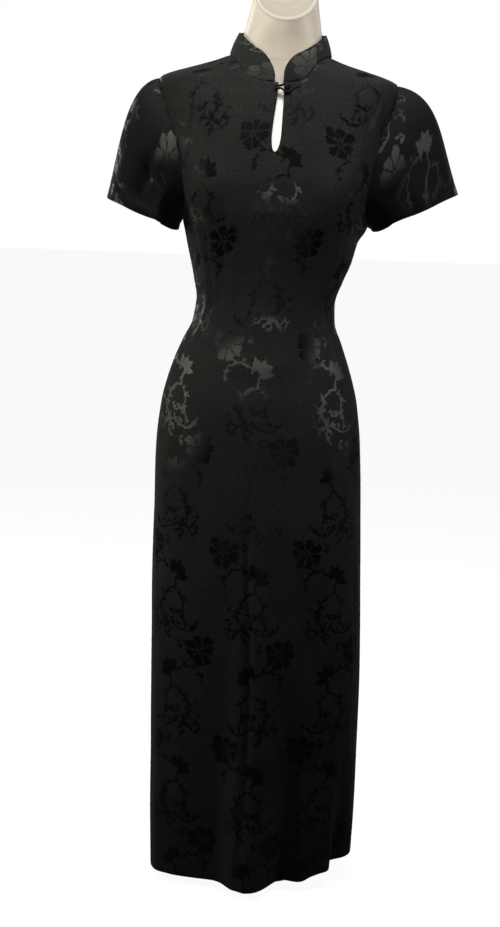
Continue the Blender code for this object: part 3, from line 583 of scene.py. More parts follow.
def makeFront():
    # One piece. Above the slit's round end the middle column is doubled and drawn apart.
    half = halfColumns()
    columnTurns = np.concatenate([-90 + half, half[1:]])
    middle = len(half) - 1
    bite = np.where(columnTurns > 0, *dress["armholeBite"])[None, :] - dress["allowance"]
    turn, height = panelGrid(columnTurns, bite)
    k = keyholeCut
    row = int(np.argmin(np.abs(height[:, middle] - k["low"])))
    level = k["low"] - height[row, middle]
    height = height + level * np.exp(-((height - k["low"]) / 0.03) ** 2)
    power = 2 / smoothValue(height, "square")
    x = smoothValue(height, "halfWidth") * signedPower(np.sin(np.radians(turn)), power)
    roomFor = np.clip(1 - np.abs(x) / k["spread"], 0, 1)
    axis, gap = keyholeShape(height)
    fade = easeInOut((height - k["low"] + k["fade"]) / k["fade"])
    shift = (0, -dress["seamGap"] / 2, 0)
    outers, inners, paintedHighlightHalves = [], [], []
    for side, part in ((-1, slice(None, middle + 1)), (1, slice(middle, None))):
        halfHeight = height[:, part]
        halfTurn = moveSideways(turn, height, roomFor * (axis * fade + side * gap))[:, part]
        openSlit = easeInOut((halfHeight - k["low"]) / 0.004)

        def edgeLift(up, across, far):
            # The side seam, then the slit's rolled edge and the groove of its stitches.
            fromSide, fromSlit = (across, far) if side < 0 else (far, across)
            lift = seamShape(fromSide, up) - k["roll"] * openSlit * np.exp(-(fromSlit / 0.0026) ** 2)
            return lift - k["groove"] * openSlit * np.exp(-((fromSlit - k["stitch"]) / 0.0014) ** 2)

        outer, inner = layCloth(halfTurn, halfHeight, shift, edgeLift)
        outers.append(outer)
        inners.append(inner)
        # The painted highlight of the flowers on this half.
        paintedHighlightHalves.append(paintedHighlightAt(halfTurn, halfHeight, paintedHighlightRows))
    outer = np.concatenate(outers, axis=1)
    inner = np.concatenate(inners, axis=1)
    rows, columns = outer.shape[:2]
    # Below the slit both halves share one column.
    vertexOf = np.arange(rows * columns).reshape(rows, columns)
    vertexOf[:row + 1, middle + 1] = vertexOf[:row + 1, middle]
    start = figurePoint(turn[:, middle], height[:, middle])[:, :1]
    start = start - smoothValue(height[:, middle], "sway")[:, None]
    uv = clothUv(outer, height[:, [*range(middle + 1), *range(middle, turn.shape[1])]], middle)
    shifted = weave["bodiceShift"] * easeInOut((uv[..., 1] - 0.95) / 0.25)
    uv[..., 0] += start - shifted
    uv -= weave["frontStart"]
    quads = gridQuads(rows, columns)
    quads = quads[quads[:, 0] % columns != middle]
    return buildWall("frontPanel", outer, inner, quads, uv, vertexOf.ravel(),
                     paintedHighlight=np.concatenate(paintedHighlightHalves, axis=1))


def makeBack(name, side):
    # Half a back from the side seam to the centre back seam.
    half = halfColumns()
    columnTurns = 90 + half if side > 0 else -180 + half
    turn, height = panelGrid(columnTurns, dress["armholeBiteBack"] - dress["allowance"])
    # Its side edge goes on under the front, and the one at +X under the other at the centre.
    under = dress["allowance"] * np.exp(-(np.abs(turn) - 90) / 6)
    turn = turn - side * under
    if side > 0:
        turn = turn + dress["allowance"] * np.exp((turn - 180) / 6)

    def edgeLift(up, across, far):
        # Where it lies under its neighbour it drops by one more thickness.
        fromSide, fromCentre = (across, far) if side > 0 else (far, across + 1)
        drop = np.exp(-(fromSide / 0.0022) ** 4) + np.exp(-(fromCentre / 0.0022) ** 4)
        return seamShape(np.minimum(across, far), up) - dress["underDrop"] * drop

    shift = (side * dress["seamGap"] / 2, dress["seamGap"] / 2, 0)
    outer, inner = layCloth(turn, height, shift, edgeLift)
    uv = clothUv(outer, height, len(half) - 1 if side > 0 else 0)
    uv[..., 0] += weave["backStart"]
    # Its flowers get the same painted highlight.
    return buildWall(name, outer, inner, gridQuads(*turn.shape), uv,
                     paintedHighlight=paintedHighlightAt(turn, height, paintedHighlightRows))


# Sleeves: the cuff's outer and inner end seen from the front, half its depth, the outward
# slope of its outer edge, how far its head stands out before it falls, where a flower lies, how
# deep its shade is, and the place of its hollow in degrees round it.
sleeveColumns = ("name", "side", "outerX", "outerZ", "innerX", "innerZ", "halfDepth", "flare", "head",
                 "flowerAcross", "flowerAlong", "shade", "hollow")
sleeveRows = [
    ("sleeveLeft", 1, 0.302, 1.203, 0.168, 1.136, 0.079, 0.38, 1.15, 0.122, 0.040, 1.0, 60),
    ("sleeveRight", -1, 0.272, 1.178, 0.155, 1.128, 0.079, 0.23, 0.8, 0.124, 0.024, 0.94, 80),
]
sleeve = {
    "gap": -0.0014,              # starts a little under the panel
    "ring": 132,
    "steps": 60,
    "cuffWave": 0.0035,
    "cuffRipple": 0.0020,
    "headPull": 0.4,             # how much harder its head is drawn to the cuff
    "fold": 0.0025,
    "hollow": (32, 0.64, 0.26),  # spread round, then its way from seam to cuff and the spread
    "leaveUnderarm": (0.55, 0.35, -0.35),
    "leaveHead": (1.00, 0.35, -0.12),
    "arrive": (0.10, -0.95),
    "hem": 0.020,
}

# Folds down a sleeve: place round it in degrees (0 underarm, 90 front, 180 top, 270 back),
# drift towards the cuff, where it starts and ends (0 seam, 1 cuff), width in degrees, rise in mm.
sleeveFolds = {
    "sleeveRight": [
        (66, 6, 0.22, 1.3, 4.5, 8.0),        # a sharp ridge between two hollows
        (44, 2, 0.10, 1.3, 12, -9.0),
        (92, 6, 0.40, 0.82, 17, -15.0),
        (100, 0, 0.10, 0.60, 6, -4.0),
        (132, 6, 0.40, 1.3, 12, 2.6),
        (156, 4, 0.50, 1.3, 10, -1.8),
        (250, -6, 0.30, 1.3, 12, 3.0),
        (276, -4, 0.25, 0.90, 10, -4.0),
        (308, -4, 0.20, 1.3, 10, 3.4),
    ],
    "sleeveLeft": [
        (40, 2, 0.15, 1.3, 12, -7.0),
        (70, 4, 0.45, 1.3, 6, 4.0),
        (84, 4, 0.60, 1.3, 5, -3.6),
        (112, 8, 0.40, 1.3, 13, -3.2),
        (142, 8, 0.50, 1.3, 12, 2.2),
        (246, -6, 0.30, 1.3, 12, 3.0),
        (272, -4, 0.20, 0.90, 10, -4.2),
        (304, -4, 0.20, 1.3, 10, 3.0),
    ],
}


# Where a sleeve's flowers get a painted highlight: place, way from seam to cuff, both spreads and share.
paintedSleeveHighlightRows = {
    "sleeveRight": [
        (108, 0.10, 24, 0.26, 1.0),
        (168, 0.45, 20, 0.22, 0.9),
        (138, 0.30, 10, 0.08, 0.8),
        (250, 0.30, 40, 0.30, 0.7),
    ],
    "sleeveLeft": [
        (96, 0.12, 26, 0.28, 1.0),
        (126, 0.42, 22, 0.26, 0.9),
        (104, 0.72, 30, 0.22, 0.6),
        (250, 0.30, 40, 0.30, 0.7),
    ],
}


def armholeRing(side, around):
    # From the underarm up the front edge and down the back edge of the armhole.
    rise = (1 - np.cos(around)) / 2
    height = dress["underarm"] + (dress["shoulderTip"] - dress["underarm"]) * rise
    inFront = around < math.pi
    bite = np.where(inFront, dress["armholeBite"][0 if side > 0 else 1], dress["armholeBiteBack"])
    share = armholeShare(height, bite)
    turn = np.where(inFront, 90 * share, 180 - 90 * share) * side
    points = figurePoint(turn, height)
    points[:, 1] += np.where(inFront, -1, 1) * dress["seamGap"] / 2
    return rise, points


def makeSleeve(row):
    # Cubic curves from each point of the armhole to the cuff's oval.
    cut = dict(zip(sleeveColumns, row))
    side = cut["side"]
    around = np.arange(sleeve["ring"]) * 2 * math.pi / sleeve["ring"]
    rise, start = armholeRing(side, around)
    outerEnd = np.array([side * cut["outerX"], 0.0, cut["outerZ"]])
    innerEnd = np.array([side * cut["innerX"], 0.0, cut["innerZ"]])
    middle, half = (outerEnd + innerEnd) / 2, (innerEnd - outerEnd) / 2
    frontBack = -np.sin(around)
    depth = frontBack[:, None] * np.array([0, cut["halfDepth"], 0])
    wave = sleeve["cuffWave"] * np.sin(3 * around + 0.6) + sleeve["cuffRipple"] * np.sin(5 * around)
    waveWay = np.stack([side + 0 * around, frontBack, 0 * around], axis=-1)
    cuff = middle + np.cos(around)[:, None] * half + depth + wave[:, None] * waveWay
    span = np.linalg.norm(cuff - start, axis=1, keepdims=True)
    ways = np.stack([side + 0 * rise, frontBack, 1 + 0 * rise], axis=-1)
    under, head = np.array(sleeve["leaveUnderarm"]), np.array(sleeve["leaveHead"])
    leave = (under + (head - under) * rise[:, None]) * ways
    leave /= np.linalg.norm(leave, axis=1, keepdims=True)
    arrive = np.array([cut["flare"], *sleeve["arrive"]]) * ways
    arrive /= np.linalg.norm(arrive, axis=1, keepdims=True)
    start = start + leave * sleeve["gap"]
    leave = leave * (1 + (cut["head"] - 1) * rise[:, None] ** 2)
    arrive = arrive * (1 + sleeve["headPull"] * rise[:, None] ** 2)
    t = np.concatenate([[0, 0.006, 0.015, 0.028], np.linspace(0.045, 0.955, sleeve["steps"] - 6),
                        [0.972, 0.988, 1.0]])[:, None, None]
    base = cubic(t, start, cuff, span, leave, arrive)
    t = t[:, :, 0]
    fold = sleeve["fold"] * np.sin(4 * around + 1.1)[None, :] * easeInOut(t) * (1 - 0.4 * t)
    base = base + fold[..., None] * np.stack([side * rise, frontBack, 0 * rise], axis=-1)
    # Finer folds and the roll at seam and hem follow the normal of the plain sleeve.
    normal = ringNormal(base, side)
    lift = np.zeros(base.shape[:2])
    degrees = np.degrees(around)[None, :]
    for place, drift, begin, end, width, size in sleeveFolds[cut["name"]]:
        ramp = 0.2 if end < 1 else 1 - begin
        grow = easeInOut((t - begin) / ramp) * easeInOut((end - t) / 0.12 + 1)
        lift += 0.001 * size * grow * np.exp(-(turnApart(degrees, place + drift * t) / width) ** 2)
    along = pathLengths(base, 0)
    closed = np.concatenate([base, base[:, :1]], axis=1)
    across = pathLengths(closed, 1)
    toCuff = along[-1:] - along
    lift += seamShape(along, across[:, :-1])
    lift += hemGroove(toCuff, sleeve["hem"])
    outer = base + lift[..., None] * normal
    inner = outer - clothThick(toCuff, sleeve["hem"])[..., None] * ringNormal(outer, side)
    # Painted highlight on the sleeve's flowers.
    paintedSleeveHighlight = paintedHighlightAt(degrees, t, paintedSleeveHighlightRows[cut["name"]])
    # The shade deepens away from the head, and fully in the hollow.
    shade = cut["shade"] * easeInOut((t + 0.10 + 0.25 * (1 - rise[None, :])) / 0.55)
    spread, way, spreadWay = sleeve["hollow"]
    hollow = (turnApart(degrees, cut["hollow"]) / spread) ** 2 + ((t - way) / spreadWay) ** 2
    shade = np.maximum(shade, np.exp(-hollow**2))
    rows, ring = outer.shape[:2]
    vertexOf = ringNumbers(rows, ring)
    scale = 0.5 * (across[0, -1] + across[-1, -1])
    u = np.broadcast_to(np.linspace(0, scale, ring + 1)[None, :], (rows, ring + 1))
    v = np.concatenate([along, along[:, :1]], axis=1)
    uv = np.stack([side * (u - cut["flowerAcross"]), cut["flowerAlong"] - v], axis=-1)
    quads = gridQuads(rows, ring + 1)
    quads = quads[:, ::-1] if side > 0 else quads
    return buildWall(cut["name"], outer, inner, quads, uv, vertexOf.ravel(), paintedHighlight=paintedSleeveHighlight, shade=shade)


def ringNormal(points, side):
    # Unit normals of a closed tube of rings, pointing away from the arm.
    along = np.gradient(points, axis=0)
    across = np.roll(points, -1, axis=1) - np.roll(points, 1, axis=1)
    normal = side * np.cross(along, across)
    return normal / np.linalg.norm(normal, axis=2, keepdims=True)


collar = {
    "frontHeight": 0.041,
    "sideHeight": 0.036,
    "backHeight": 0.034,
    "topHalf": 0.0705,
    "standOff": 0.0022,
    "openingBase": 0.0026,
    "openingTop": 0.0076,
    "corners": (0.024, 0.031),   # at +X and at -X
    "swell": 0.0012,
    "length": 0.465,
    "columns": 190,
    "rows": 22,
    "thickness": 0.0014,
    "endsCloser": 0.085,         # columns closer at both ends
    "stitch": 0.0035,            # edge stitching, in from the top edge
    "stitchDepth": 0.00022,
    "edgeRoll": 0.0004,
    "uneven": 0.0003,
    "tuck": 0.0022,              # goes down behind the neck seam
    "tuckDrop": 0.0020,
    "edge": 0.0005,
    "flowerStart": (0.045, 0.017),
    "paintedHighlight": 0.42,               # how strongly its flowers get a painted highlight
}


def makeCollar():
    # A band from the neck seam to a smaller, higher oval, with its front corners rounded off.
    c = collar
    baseStart = math.degrees(math.asin(c["openingBase"] / dress["neckHalf"]))
    topStart = math.degrees(math.asin(c["openingTop"] / c["topHalf"]))
    even = np.linspace(0, 1, c["columns"] + 1)
    share = even - c["endsCloser"] * np.sin(2 * math.pi * even) / (2 * math.pi) * 2
    baseAngle = turnApart(baseStart + (360 - 2 * baseStart) * share, 0)
    topAngle = turnApart(topStart + (360 - 2 * topStart) * share, 0)
    baseTurn, baseHeight = neckSeam(baseAngle)
    base = figurePoint(baseTurn, baseHeight, creased=False)
    top = np.radians(topAngle)
    inFront = np.cos(top) > 0
    frontEnd, backEnd = dress["neckFront"] + c["frontHeight"], dress["neckBack"] + c["backHeight"]
    endHeight = np.where(inFront, frontEnd, backEnd)
    sideHeight = dress["neckSide"] + c["sideHeight"]
    topHeight = sideHeight + (endHeight - sideHeight) * np.cos(top) ** 2
    depth = np.where(inFront, smoothValue(topHeight, "front"), smoothValue(topHeight, "back"))
    peakX = c["topHalf"] * np.sin(top) + smoothValue(topHeight, "sway")
    peak = np.stack([peakX, -(depth + c["standOff"]) * np.cos(top), topHeight], axis=-1)
    fromEnd = np.minimum(share, 1 - share) * c["length"]
    radius = np.where(share < 0.5, *c["corners"])
    corner = np.clip(fromEnd / radius, 0, 1)
    full = np.linalg.norm(peak - base, axis=1)
    reach = 1 - radius * (1 - np.sqrt(1 - (1 - corner) ** 2)) / full
    gap = -c["tuck"] / full
    level = edgeSpread(c["rows"], 1.0, [0.0, 0.02, 0.05])[:, None]
    up = (gap + (reach - gap) * level)[..., None]
    outward = np.stack([np.sin(top), -np.cos(top), 0 * top], axis=-1)
    outer = base + (peak - base) * up + c["swell"] * np.sin(math.pi * up) * outward
    normal = np.cross(np.gradient(outer, axis=1), np.gradient(outer, axis=0))
    normal /= np.linalg.norm(normal, axis=2, keepdims=True)
    along = pathLengths(outer, 0)
    across = pathLengths(outer, 1)
    fromTop = np.minimum(along[-1:] - along, np.minimum(across, across[:, -1:] - across))
    lift = -c["tuckDrop"] * np.exp(-(along / 0.0026) ** 4)
    lift -= c["stitchDepth"] * np.exp(-((fromTop - c["stitch"]) / 0.0011) ** 2)
    lift -= c["edgeRoll"] * np.exp(-(fromTop / 0.0013) ** 2)
    lift += c["uneven"] * np.sin(across / 0.011) * np.sin(across / 0.027 + along / 0.03)
    outer = outer + lift[..., None] * normal
    inner = outer - c["thickness"] * normal
    uv = np.stack([across, along], axis=-1) - c["flowerStart"]
    quads = gridQuads(*outer.shape[:2])
    # Its flowers get an even painted highlight.
    return buildWall("collarBand", outer, inner, quads, uv, edge=c["edge"], paintedHighlight=c["paintedHighlight"])


fastening = {
    "ballRadius": 0.0048,
    "cordRadius": 0.0011,
    "loopRadius": 0.0020,
    "ballX": 0.0132,
    "ballZ": 1.3576,
    "tabLength": 0.010,
    "tabRise": 0.005,
    "loopEndX": -0.0072,
    "loopEndApart": 0.0021,
    "loopLift": 0.0006,
    "fit": 0.0003,
    "knotCord": 0.00122,         # the ball's own cord, how deep it lies and how much it weaves
    "knotDepth": 0.00125,
    "knotWeave": 0.00022,
    "heartDepth": 0.0011,
}


def chestPoint(x, height, away):
    # A point a little above the cloth of the front, at a distance from the middle.
    turn = moveSideways(np.zeros_like(x), height, x)
    point = figurePoint(turn, height, False)
    point = point + away * figureNormal(turn, height, False)
    return point + np.array([0, -dress["seamGap"] / 2, 0])


def smoothRoute(points, count):
    # Even points on a smooth cubic curve through the route's own points.
    padded = np.concatenate([2 * points[:1] - points[1:2], points, 2 * points[-1:] - points[-2:-1]])
    spans = len(points) - 1
    s = np.linspace(0, spans, 20 * spans + 1)
    i = np.minimum(s.astype(int), spans - 1)
    t = (s - i)[:, None]
    p0, p1, p2, p3 = padded[i], padded[i + 1], padded[i + 2], padded[i + 3]
    fine = 0.5 * (2 * p1 + (p2 - p0) * t + (2 * p0 - 5 * p1 + 4 * p2 - p3) * t**2
                  + (3 * p1 - p0 - 3 * p2 + p3) * t**3)
    run = np.concatenate([[0], np.cumsum(np.linalg.norm(np.diff(fine, axis=0), axis=1))])
    at = np.linspace(0, run[-1], count)
    return np.stack([np.interp(at, run, fine[:, k]) for k in range(3)], axis=1)


def cordSurface(name, route, radius, closed=False, sides=14, strands=0, lay=0.0):
    # A profile carried along a route: a circle, or a few bumps that twist along it. The frame is
    # carried from point to point, so that it never spins.
    count = len(route)
    heading = np.gradient(route, axis=0)
    if closed:
        heading = np.roll(route, -1, axis=0) - np.roll(route, 1, axis=0)
    heading = heading / np.linalg.norm(heading, axis=1, keepdims=True)
    aside = np.zeros_like(heading)
    aside[0] = np.cross(heading[0], [0.0, 1.0, 0.0])
    for i in range(1, count):
        aside[i] = aside[i - 1] - heading[i] * np.dot(aside[i - 1], heading[i])
    aside /= np.linalg.norm(aside, axis=1, keepdims=True)
    upright = np.cross(heading, aside)
    spin = 2 * math.pi * np.arange(sides) / sides
    run = np.concatenate([[0], np.cumsum(np.linalg.norm(np.diff(route, axis=0), axis=1))])
    size = radius * np.ones((count, sides))
    if strands:
        twist = strands * (spin[None, :] + lay * run[:, None])
        size = radius * (1 - 0.10 + 0.10 * np.cos(twist))
    if not closed:
        end = np.minimum(np.arange(count), np.arange(count)[::-1])
        size = size * np.interp(end, [0, 1, 2, 3], [0.35, 0.75, 0.94, 1.0])[:, None]
    ring = (np.cos(spin)[None, :, None] * aside[:, None, :]
            + np.sin(spin)[None, :, None] * upright[:, None, :])
    points = route[:, None, :] + size[..., None] * ring
    if not closed:
        return closedTurn(name, points, route[0], route[-1], 75)
    index = ringNumbers(count, sides)
    index = np.concatenate([index, index[:1]], axis=0)
    quads = index.ravel()[gridQuads(*index.shape)]
    return buildMesh(name, points.reshape(-1, 3), quads, sharpAngle=75)


def makeFastening():
    # A knotted ball of cord, a short tab beside it and a loop round it from the other side.
    f = fastening
    ballX, ballZ = np.array(f["ballX"]), np.array(f["ballZ"])
    centre = chestPoint(ballX, ballZ, f["ballRadius"] + f["fit"])
    # A cord that goes three times round a sphere while it swings up and down five times.
    way = np.linspace(0, 6 * math.pi, 260, endpoint=False)
    swing = 1.02 * np.sin(5 / 3 * way)
    over = f["ballRadius"] - f["knotDepth"] + f["knotWeave"] * np.cos(10 / 3 * way)
    route = centre + np.stack([over * np.cos(swing) * np.cos(way), over * np.sin(swing),
                               over * np.cos(swing) * np.sin(way)], axis=-1)
    ball = cordSurface("knotButton", route, f["knotCord"], closed=True, sides=12)
    level = np.linspace(-math.pi / 2, math.pi / 2, 14)[1:-1]
    spin = np.linspace(0, 2 * math.pi, 25)[:-1]
    core = f["ballRadius"] - f["heartDepth"]
    pole = core * np.array([0, 0, 1.0])
    wide = np.cos(level)[:, None]
    rings = centre + core * np.stack([wide * np.cos(spin), wide * np.sin(spin),
                                      np.sin(level)[:, None] + 0 * spin], axis=-1)
    heart = closedTurn("knotHeart", rings, centre - pole, centre + pole)
    low = f["cordRadius"] + f["fit"]
    s = np.linspace(0, 1, 30)
    beside = f["ballRadius"] + 2 * f["loopRadius"] + f["cordRadius"] + 3 * f["fit"]
    tabStart = f["ballX"] + beside
    tabRoute = chestPoint(tabStart + f["tabLength"] * s, f["ballZ"] + f["tabRise"] * s, low)
    tab = cordSurface("buttonTab", tabRoute, f["cordRadius"], strands=2, lay=900)
    ring = f["ballRadius"] + f["loopRadius"] + f["fit"]
    strand = np.linspace(0, 1, 9)
    strandX = f["loopEndX"] + (f["ballX"] - f["loopEndX"]) * strand
    strandZ = f["loopEndApart"] + (ring - f["loopEndApart"]) * easeInOut(strand * 1.8 - 0.8)
    turn = np.linspace(0, math.pi, 12)[1:-1]
    loopX = np.concatenate([strandX, f["ballX"] + ring * np.sin(turn), strandX[::-1]])
    loopZ = np.concatenate([strandZ, ring * np.cos(turn), -strandZ[::-1]])
    high = f["loopRadius"] + f["fit"] + f["loopLift"]
    loopRoute = smoothRoute(chestPoint(loopX, f["ballZ"] + loopZ, high), 130)
    loop = cordSurface("buttonLoop", loopRoute, f["loopRadius"], strands=2, lay=600)
    return ball, heart, tab, loop


def closedTurn(name, rings, lowPole, highPole, sharpAngle=42):
    # Closed rings stacked from one pole to the other; both poles are single points.
    rows, sides = rings.shape[:2]
    index = ringNumbers(rows, sides)
    quads = index.ravel()[gridQuads(*index.shape)]
    low, high = np.full(sides, rows * sides), np.full(sides, rows * sides + 1)
    quads = np.concatenate([quads, np.stack([index[0, 1:], index[0, :-1], low, low], axis=1),
                            np.stack([index[-1, :-1], index[-1, 1:], high, high], axis=1)])
    points = np.concatenate([rings.reshape(-1, 3), [lowPole], [highPole]])
    return buildMesh(name, points, quads, sharpAngle=sharpAngle)


form = {
    "bottom": 0.700,
    "footRadius": 0.006,         # its lower edge is rounded
    "footShare": 0.94,
    "neckFrom": 1.405,
    "cutFront": 1.4595,          # lowest point of the slanted neck cut
    "cutSlope": 42,
    "cutStart": 1.440,
    "cutHalf": (0.0505, 0.0500, 0.0540),     # half width, front and back of the cut
    "cutShift": 0.0105,
    "neckRoom": 0.0032,
    "cutLift": 0.004,
    "wall": 0.0015,
    "sides": 128,
    "capThickness": 0.0026,
    "capRim": 0.0065,
    "fit": 0.0003,
}


def formRing(height, turn):
    # The cloth's line without its folds, moved in past the wall and the room.
    height = np.asarray(height, float)
    room = np.where(height > form["neckFrom"], form["neckRoom"], smoothValue(height, "room"))
    gap = form["wall"] + room
    return figurePoint(turn, height, False) - gap[..., None] * figureNormal(turn, height, False)


def neckRing(turn, out=0.0, lift=0.0):
    # Oval on the slanted cut through the neck, moved in or out and along the cut's normal.
    half, front, back = [size + out for size in form["cutHalf"]]
    angle = np.radians(turn)
    y = -np.where(np.cos(angle) > 0, front, back) * np.cos(angle)
    slope = math.radians(form["cutSlope"])
    z = form["cutFront"] + (y + front - out) * math.tan(slope)
    x = half * np.sin(angle) + form["cutShift"]
    lift = lift + form["cutLift"]
    return np.stack([x, y, z], axis=-1) + lift * np.array([0, -math.sin(slope), math.cos(slope)])


def makeForm():
    # Rings from the rounded underside up to the slanted neck cut.
    turn = np.arange(form["sides"]) * 360 / form["sides"] - 180
    heights = np.concatenate([np.linspace(form["bottom"] + form["footRadius"], 1.36, 120),
                              np.linspace(1.364, 1.412, 22), np.linspace(1.417, form["cutStart"], 8)])
    body = formRing(heights[:, None], turn[None, :])
    foot = []
    for angle in np.linspace(0, math.pi / 2, 7)[:-1]:
        ring = body[0].copy()
        ring[:, :2] *= form["footShare"] + (1 - form["footShare"]) * math.sin(angle)
        ring[:, 2] = form["bottom"] + form["footRadius"] * (1 - math.cos(angle))
        foot.append(ring)
    top = neckRing(turn)
    neck = [body[-1] + (top - body[-1]) * share for share in np.linspace(0, 1, 13)[1:]]
    rings = np.concatenate([np.array(foot), body, np.array(neck)])
    return closedTurn("formCover", rings, rings[0].mean(axis=0), top.mean(axis=0))


def makeCap():
    # A plate on the cut: a rounded edge, a raised rim and a slightly dished middle.
    c = form
    turn = np.arange(c["sides"]) * 360 / c["sides"] - 180
    t, fit, rim = c["capThickness"], c["fit"], -c["capRim"]
    profile = [(0, fit), (-0.0009, fit + 0.0011), (-0.0019, fit + 0.0018), (-0.0030, t - 0.0001),
               (rim * 0.75, t), (rim, t - 0.0003), (rim - 0.0008, t - 0.0012), (rim - 0.0018, t - 0.0015),
               (rim - 0.008, t - 0.0016), (rim - 0.020, t - 0.0018), (rim - 0.035, t - 0.0019)]
    rings = np.array([neckRing(turn, out, lift) for out, lift in profile])
    return closedTurn("formCap", rings, rings[0].mean(axis=0), rings[-1].mean(axis=0), sharpAngle=60)


stand = {
    "middleY": 0.036,
    "baseHalf": (0.114, 0.088),
    "baseThickness": 0.010,
    "socketRadius": 0.024,
    "socketHeight": 0.040,
    "poleRadius": 0.0125,
    "fit": 0.0003,
    "baseRound": 0.0028,         # radii of the edges
    "socketRound": 0.0015,
    "poleRound": 0.001,
    "flange": 0.009,             # the socket's foot, before it steps in
}


def turnedPiece(name, halfX, halfY, profile, sides=128):
    # A profile of inset and height carried round an oval, closed at both ends.
    spin = np.arange(sides) * 2 * math.pi / sides
    inset, z = np.array(profile).T[:, :, None]
    rings = np.stack([(halfX - inset) * np.cos(spin), stand["middleY"] + (halfY - inset) * np.sin(spin),
                      z + 0 * spin], axis=-1)
    low = np.array([0, stand["middleY"], profile[0][1]])
    high = np.array([0, stand["middleY"], profile[-1][1]])
    return closedTurn(name, rings, low, high, 30)


def roundedProfile(low, high, radius, steps=5):
    # Inset and height up a side with a quarter round at each end.
    angles = np.linspace(0, math.pi / 2, steps)
    below = [(radius * (1 - math.sin(a)), low + radius * (1 - math.cos(a))) for a in angles]
    above = [(radius * (1 - math.cos(a)), high - radius * (1 - math.sin(a))) for a in angles]
    return below + above


def makeStand():
    # Turned profiles, stacked with the same small room between them.
    s = stand
    profile = roundedProfile(0, s["baseThickness"], s["baseRound"])
    base = turnedPiece("standBase", *s["baseHalf"], profile)
    low = s["baseThickness"] + s["fit"]
    top = low + s["socketHeight"]
    profile = roundedProfile(low, low + s["flange"], s["socketRound"])
    profile += [(0.0045, low + 0.0098), (0.0062, low + 0.013), (0.0062, top - 0.004),
                (0.0068, top - 0.0016), (0.0082, top)]
    socket = turnedPiece("standSocket", s["socketRadius"], s["socketRadius"], profile, 96)
    profile = roundedProfile(top + s["fit"], form["bottom"] - s["fit"], s["poleRound"])
    pole = turnedPiece("standPole", s["poleRadius"], s["poleRadius"], profile, 64)
    return base, socket, pole


frontPanel = makeFront()
backLeft = makeBack("backLeft", 1)
backRight = makeBack("backRight", -1)
sleeveLeft, sleeveRight = [makeSleeve(row) for row in sleeveRows]
collarBand = makeCollar()
print("cloth shells made")
knotButton, knotHeart, buttonTab, buttonLoop = makeFastening()
formCover, formCap = makeForm(), makeCap()
standBase, standSocket, standPole = makeStand()
print("fastening, form and stand made")


# Materials. A small helper writes node chains in the order that a formula reads.
class Chart:
    def __init__(self, tree):
        self.tree = tree

    def node(self, kind, **values):
        made = self.tree.nodes.new(kind)
        for name, value in values.items():
            setattr(made, name, value)
        return made

    def put(self, socket, value):
        if isinstance(value, bpy.types.NodeSocket):
            self.tree.links.new(value, socket)
        elif socket.type == "RGBA":
            socket.default_value = (*value, 1)
        else:
            socket.default_value = value

    def fill(self, made, values):
        for name, value in values.items():
            self.put(made.inputs[name], value)
        return made

    def math(self, operation, *values):
        made = self.node("ShaderNodeMath", operation=operation)
        for socket, value in zip(made.inputs, values):
            self.put(socket, value)
        return made.outputs[0]

    def vector(self, operation, *values):
        made = self.node("ShaderNodeVectorMath", operation=operation)
        for socket, value in zip(made.inputs, values):
            self.put(socket, value)
        single = operation in ("LENGTH", "DISTANCE", "DOT_PRODUCT")
        return made.outputs["Value"] if single else made.outputs[0]

    def scaled(self, vector, size):
        made = self.node("ShaderNodeVectorMath", operation="SCALE")
        return self.fill(made, {0: vector, "Scale": size}).outputs[0]

    def split(self, vector):
        made = self.node("ShaderNodeSeparateXYZ")
        return self.fill(made, {0: vector}).outputs[:2]

    def join(self, x, y):
        made = self.node("ShaderNodeCombineXYZ")
        return self.fill(made, {0: x, 1: y}).outputs[0]

    def mix(self, factor, a, b):
        made = self.node("ShaderNodeMix", data_type="RGBA")
        return self.fill(made, {"Factor": factor, 6: a, 7: b}).outputs[2]

    def ramp(self, value, low, high):
        made = self.node("ShaderNodeMapRange", interpolation_type="SMOOTHSTEP")
        return self.fill(made, {"Value": value, "From Min": low, "From Max": high}).outputs[0]

    def noise(self, vector, scale, detail=2.0, roughness=0.5, output=0):
        made = self.node("ShaderNodeTexNoise")
        values = {"Vector": vector, "Scale": scale, "Detail": detail, "Roughness": roughness}
        return self.fill(made, values).outputs[output]

    def bump(self, shader, height, strength, distance):
        made = self.node("ShaderNodeBump")
        self.fill(made, {"Strength": strength, "Distance": distance, "Height": height})
        self.put(shader.inputs["Normal"], made.outputs[0])


def newGroup(name, inputs, outputs):
    # A shader node group with named inputs and outputs.
    group = bpy.data.node_groups.new(name, "ShaderNodeTree")
    for label, kind, value in inputs:
        socket = group.interface.new_socket(name=label, in_out="INPUT", socket_type=kind)
        if value is not None:
            socket.default_value = value
    for label, kind in outputs:
        group.interface.new_socket(name=label, in_out="OUTPUT", socket_type=kind)
    chart = Chart(group)
    return group, chart, chart.node("NodeGroupInput"), chart.node("NodeGroupOutput")
